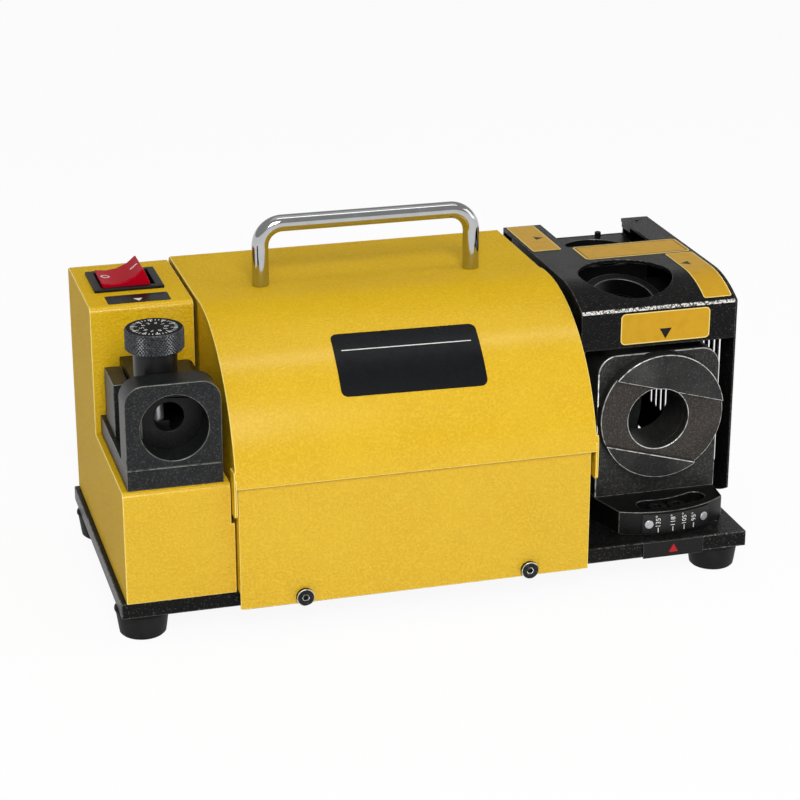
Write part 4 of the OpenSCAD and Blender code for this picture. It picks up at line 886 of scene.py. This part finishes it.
def labels():
    """Bordered labels and dark plates, with plain arrows and a rule."""
    amber = [AMBER, PALE, INK]
    label("label_rear_left", (15.6, 45.5), 1.0, [(0.5, 1)], amber, on_plane((87.2, 55.2, COVER_TOP)))
    arrow("arrow_rear_left", *ARROW, on_plane((90.6, 55.0, COVER_TOP)), INK)
    label("label_rear", (58.0, 22.6), 2.2, [(0.5, 1), (0.75, 0), (0.5, 2)], amber,
          on_plane((130.2, 22.8, COVER_TOP), 0.01))
    label("label_right", (15.0, 55.0), 1.2, [(0.5, 1)], amber, on_cover(151.6, -17.5), step=2.5)
    arrow("arrow_right", *ARROW, on_plane((147.6, -8.0, COVER_TOP)), INK, math.pi)
    label("label_front", (47.6, 16.2), 2.4, [(0.5, 1)], amber, on_apron(122.7, 127.0))
    arrow("arrow_front", 4.1, 6.4, on_apron(122.8, 122.4), INK, -math.pi / 2)
    black = [FILM_BLACK, WHITE]
    plate_place = on_hood(HOOD_LABEL_X, HOOD_LABEL_ANGLE, HOOD_LABEL_TURN)
    label("label_hood", (73.0, 35.0), 3.4, [], black, plate_place, step=HOOD_STEP)
    rule = cut_rows(flat_shape(65.0, 0.5, 0.1, []), HOOD_STEP, 0.5)
    thicken(rule, INK_THICK, LABEL_THICK)
    rule_place = on_hood(HOOD_LABEL_X, HOOD_LABEL_ANGLE + HOOD_RULE_UP / HOOD_RADIUS, HOOD_LABEL_TURN)
    add_piece("label_hood_rule", lay(rule, rule_place), [WHITE], "frame")
    label("label_switch", (31.4, 12.8), 1.0, [], black, on_plane((-132.2, 17.0, HOUSING_TOP)))
    arrow("arrow_switch", 3.0, 4.6, on_plane((-132.2, 14.2, HOUSING_TOP)), WHITE, -math.pi / 2)


# ---- stage ----
def paper():
    """Pale paper that the camera, metal and glass see as white; it still takes the shadow."""
    material = bpy.data.materials.new("paper")
    material.use_nodes = True
    tree = material.node_tree
    tree.nodes.clear()
    matt = tree.nodes.new("ShaderNodeBsdfDiffuse")
    matt.inputs["Color"].default_value = (0.93, 0.93, 0.93, 1)
    glow = tree.nodes.new("ShaderNodeEmission")
    path = tree.nodes.new("ShaderNodeLightPath")
    mirrored = tree.nodes.new("ShaderNodeMath")
    mirrored.operation = "MAXIMUM"
    tree.links.new(path.outputs["Is Glossy Ray"], mirrored.inputs[0])
    tree.links.new(path.outputs["Is Transmission Ray"], mirrored.inputs[1])
    seen = tree.nodes.new("ShaderNodeMath")
    seen.operation = "MAXIMUM"
    tree.links.new(path.outputs["Is Camera Ray"], seen.inputs[0])
    tree.links.new(mirrored.outputs[0], seen.inputs[1])
    share = tree.nodes.new("ShaderNodeMath")
    share.operation = "MULTIPLY"
    share.inputs[1].default_value = 0.93
    tree.links.new(seen.outputs[0], share.inputs[0])
    mix = tree.nodes.new("ShaderNodeMixShader")
    out = tree.nodes.new("ShaderNodeOutputMaterial")
    tree.links.new(share.outputs[0], mix.inputs[0])
    tree.links.new(matt.outputs[0], mix.inputs[1])
    tree.links.new(glow.outputs[0], mix.inputs[2])
    tree.links.new(mix.outputs[0], out.inputs["Surface"])
    return material


def floor_and_backdrop():
    """A wide floor with a low round backdrop at its edge."""
    material = paper()
    floor = bmesh.new()
    bmesh.ops.create_grid(floor, x_segments=1, y_segments=1, size=9.0)
    wall = bmesh.new()
    bmesh.ops.create_cone(wall, cap_ends=False, segments=64, radius1=8.0, radius2=8.0, depth=1.8)
    bmesh.ops.translate(wall, vec=(0, 0, 0.9), verts=wall.verts)
    for name, mesh in (("floor", floor), ("backdrop", wall)):
        data = bpy.data.meshes.new(name)
        mesh.to_mesh(data)
        mesh.free()
        data.materials.append(material)
        sheet = bpy.data.objects.new(name, data)
        bpy.context.scene.collection.objects.link(sheet)


def sky(level):
    """Plain soft light from all round."""
    world = bpy.data.worlds.new("sky")
    bpy.context.scene.world = world
    world.use_nodes = True
    light = world.node_tree.nodes["Background"]
    light.inputs["Color"].default_value = (1, 1, 1, 1)
    light.inputs["Strength"].default_value = level


def lamp(name, place, aim, size, power):
    """Soft lamp of size (width, depth) at place that shines towards aim, all in metres."""
    data = bpy.data.lights.new(name, "AREA")
    data.shape = "RECTANGLE"
    data.size, data.size_y = size
    data.energy = power
    holder = bpy.data.objects.new(name, data)
    way = Vector(aim) - Vector(place)
    turned = way.to_track_quat("-Z", "Y").to_matrix().to_4x4()
    holder.matrix_world = Matrix.Translation(Vector(place)) @ turned
    bpy.context.scene.collection.objects.link(holder)


def camera():
    """Long lens from the front left, turned right by the yaw and down by the pitch."""
    yaw, pitch = math.radians(CAMERA_YAW), math.radians(CAMERA_PITCH)
    ahead = Vector((math.sin(yaw) * math.cos(pitch), math.cos(yaw) * math.cos(pitch), -math.sin(pitch)))
    right = Vector((math.cos(yaw), -math.sin(yaw), 0))
    up = right.cross(ahead)
    data = bpy.data.cameras.new("camera")
    data.lens = CAMERA_LENS
    data.sensor_width = 36
    data.clip_start = 0.05
    holder = bpy.data.objects.new("camera", data)
    x, y, z = CAMERA_PLACE
    holder.matrix_world = Matrix(((right.x, up.x, -ahead.x, x), (right.y, up.y, -ahead.y, y),
                                  (right.z, up.z, -ahead.z, z), (0, 0, 0, 1)))
    bpy.context.scene.collection.objects.link(holder)
    bpy.context.scene.camera = holder


def stage():
    """Floor, light and the plain view transform."""
    floor_and_backdrop()
    sky(SKY_LEVEL)
    for values in LAMPS:
        lamp(*values)
    bpy.context.scene.view_settings.view_transform = "Standard"


camera()
stage()
carried_over()
sheet_metal()
steel_blocks()
small_parts()
knob()
switch_marks()
scale_marks()
pointer_mark()
labels()
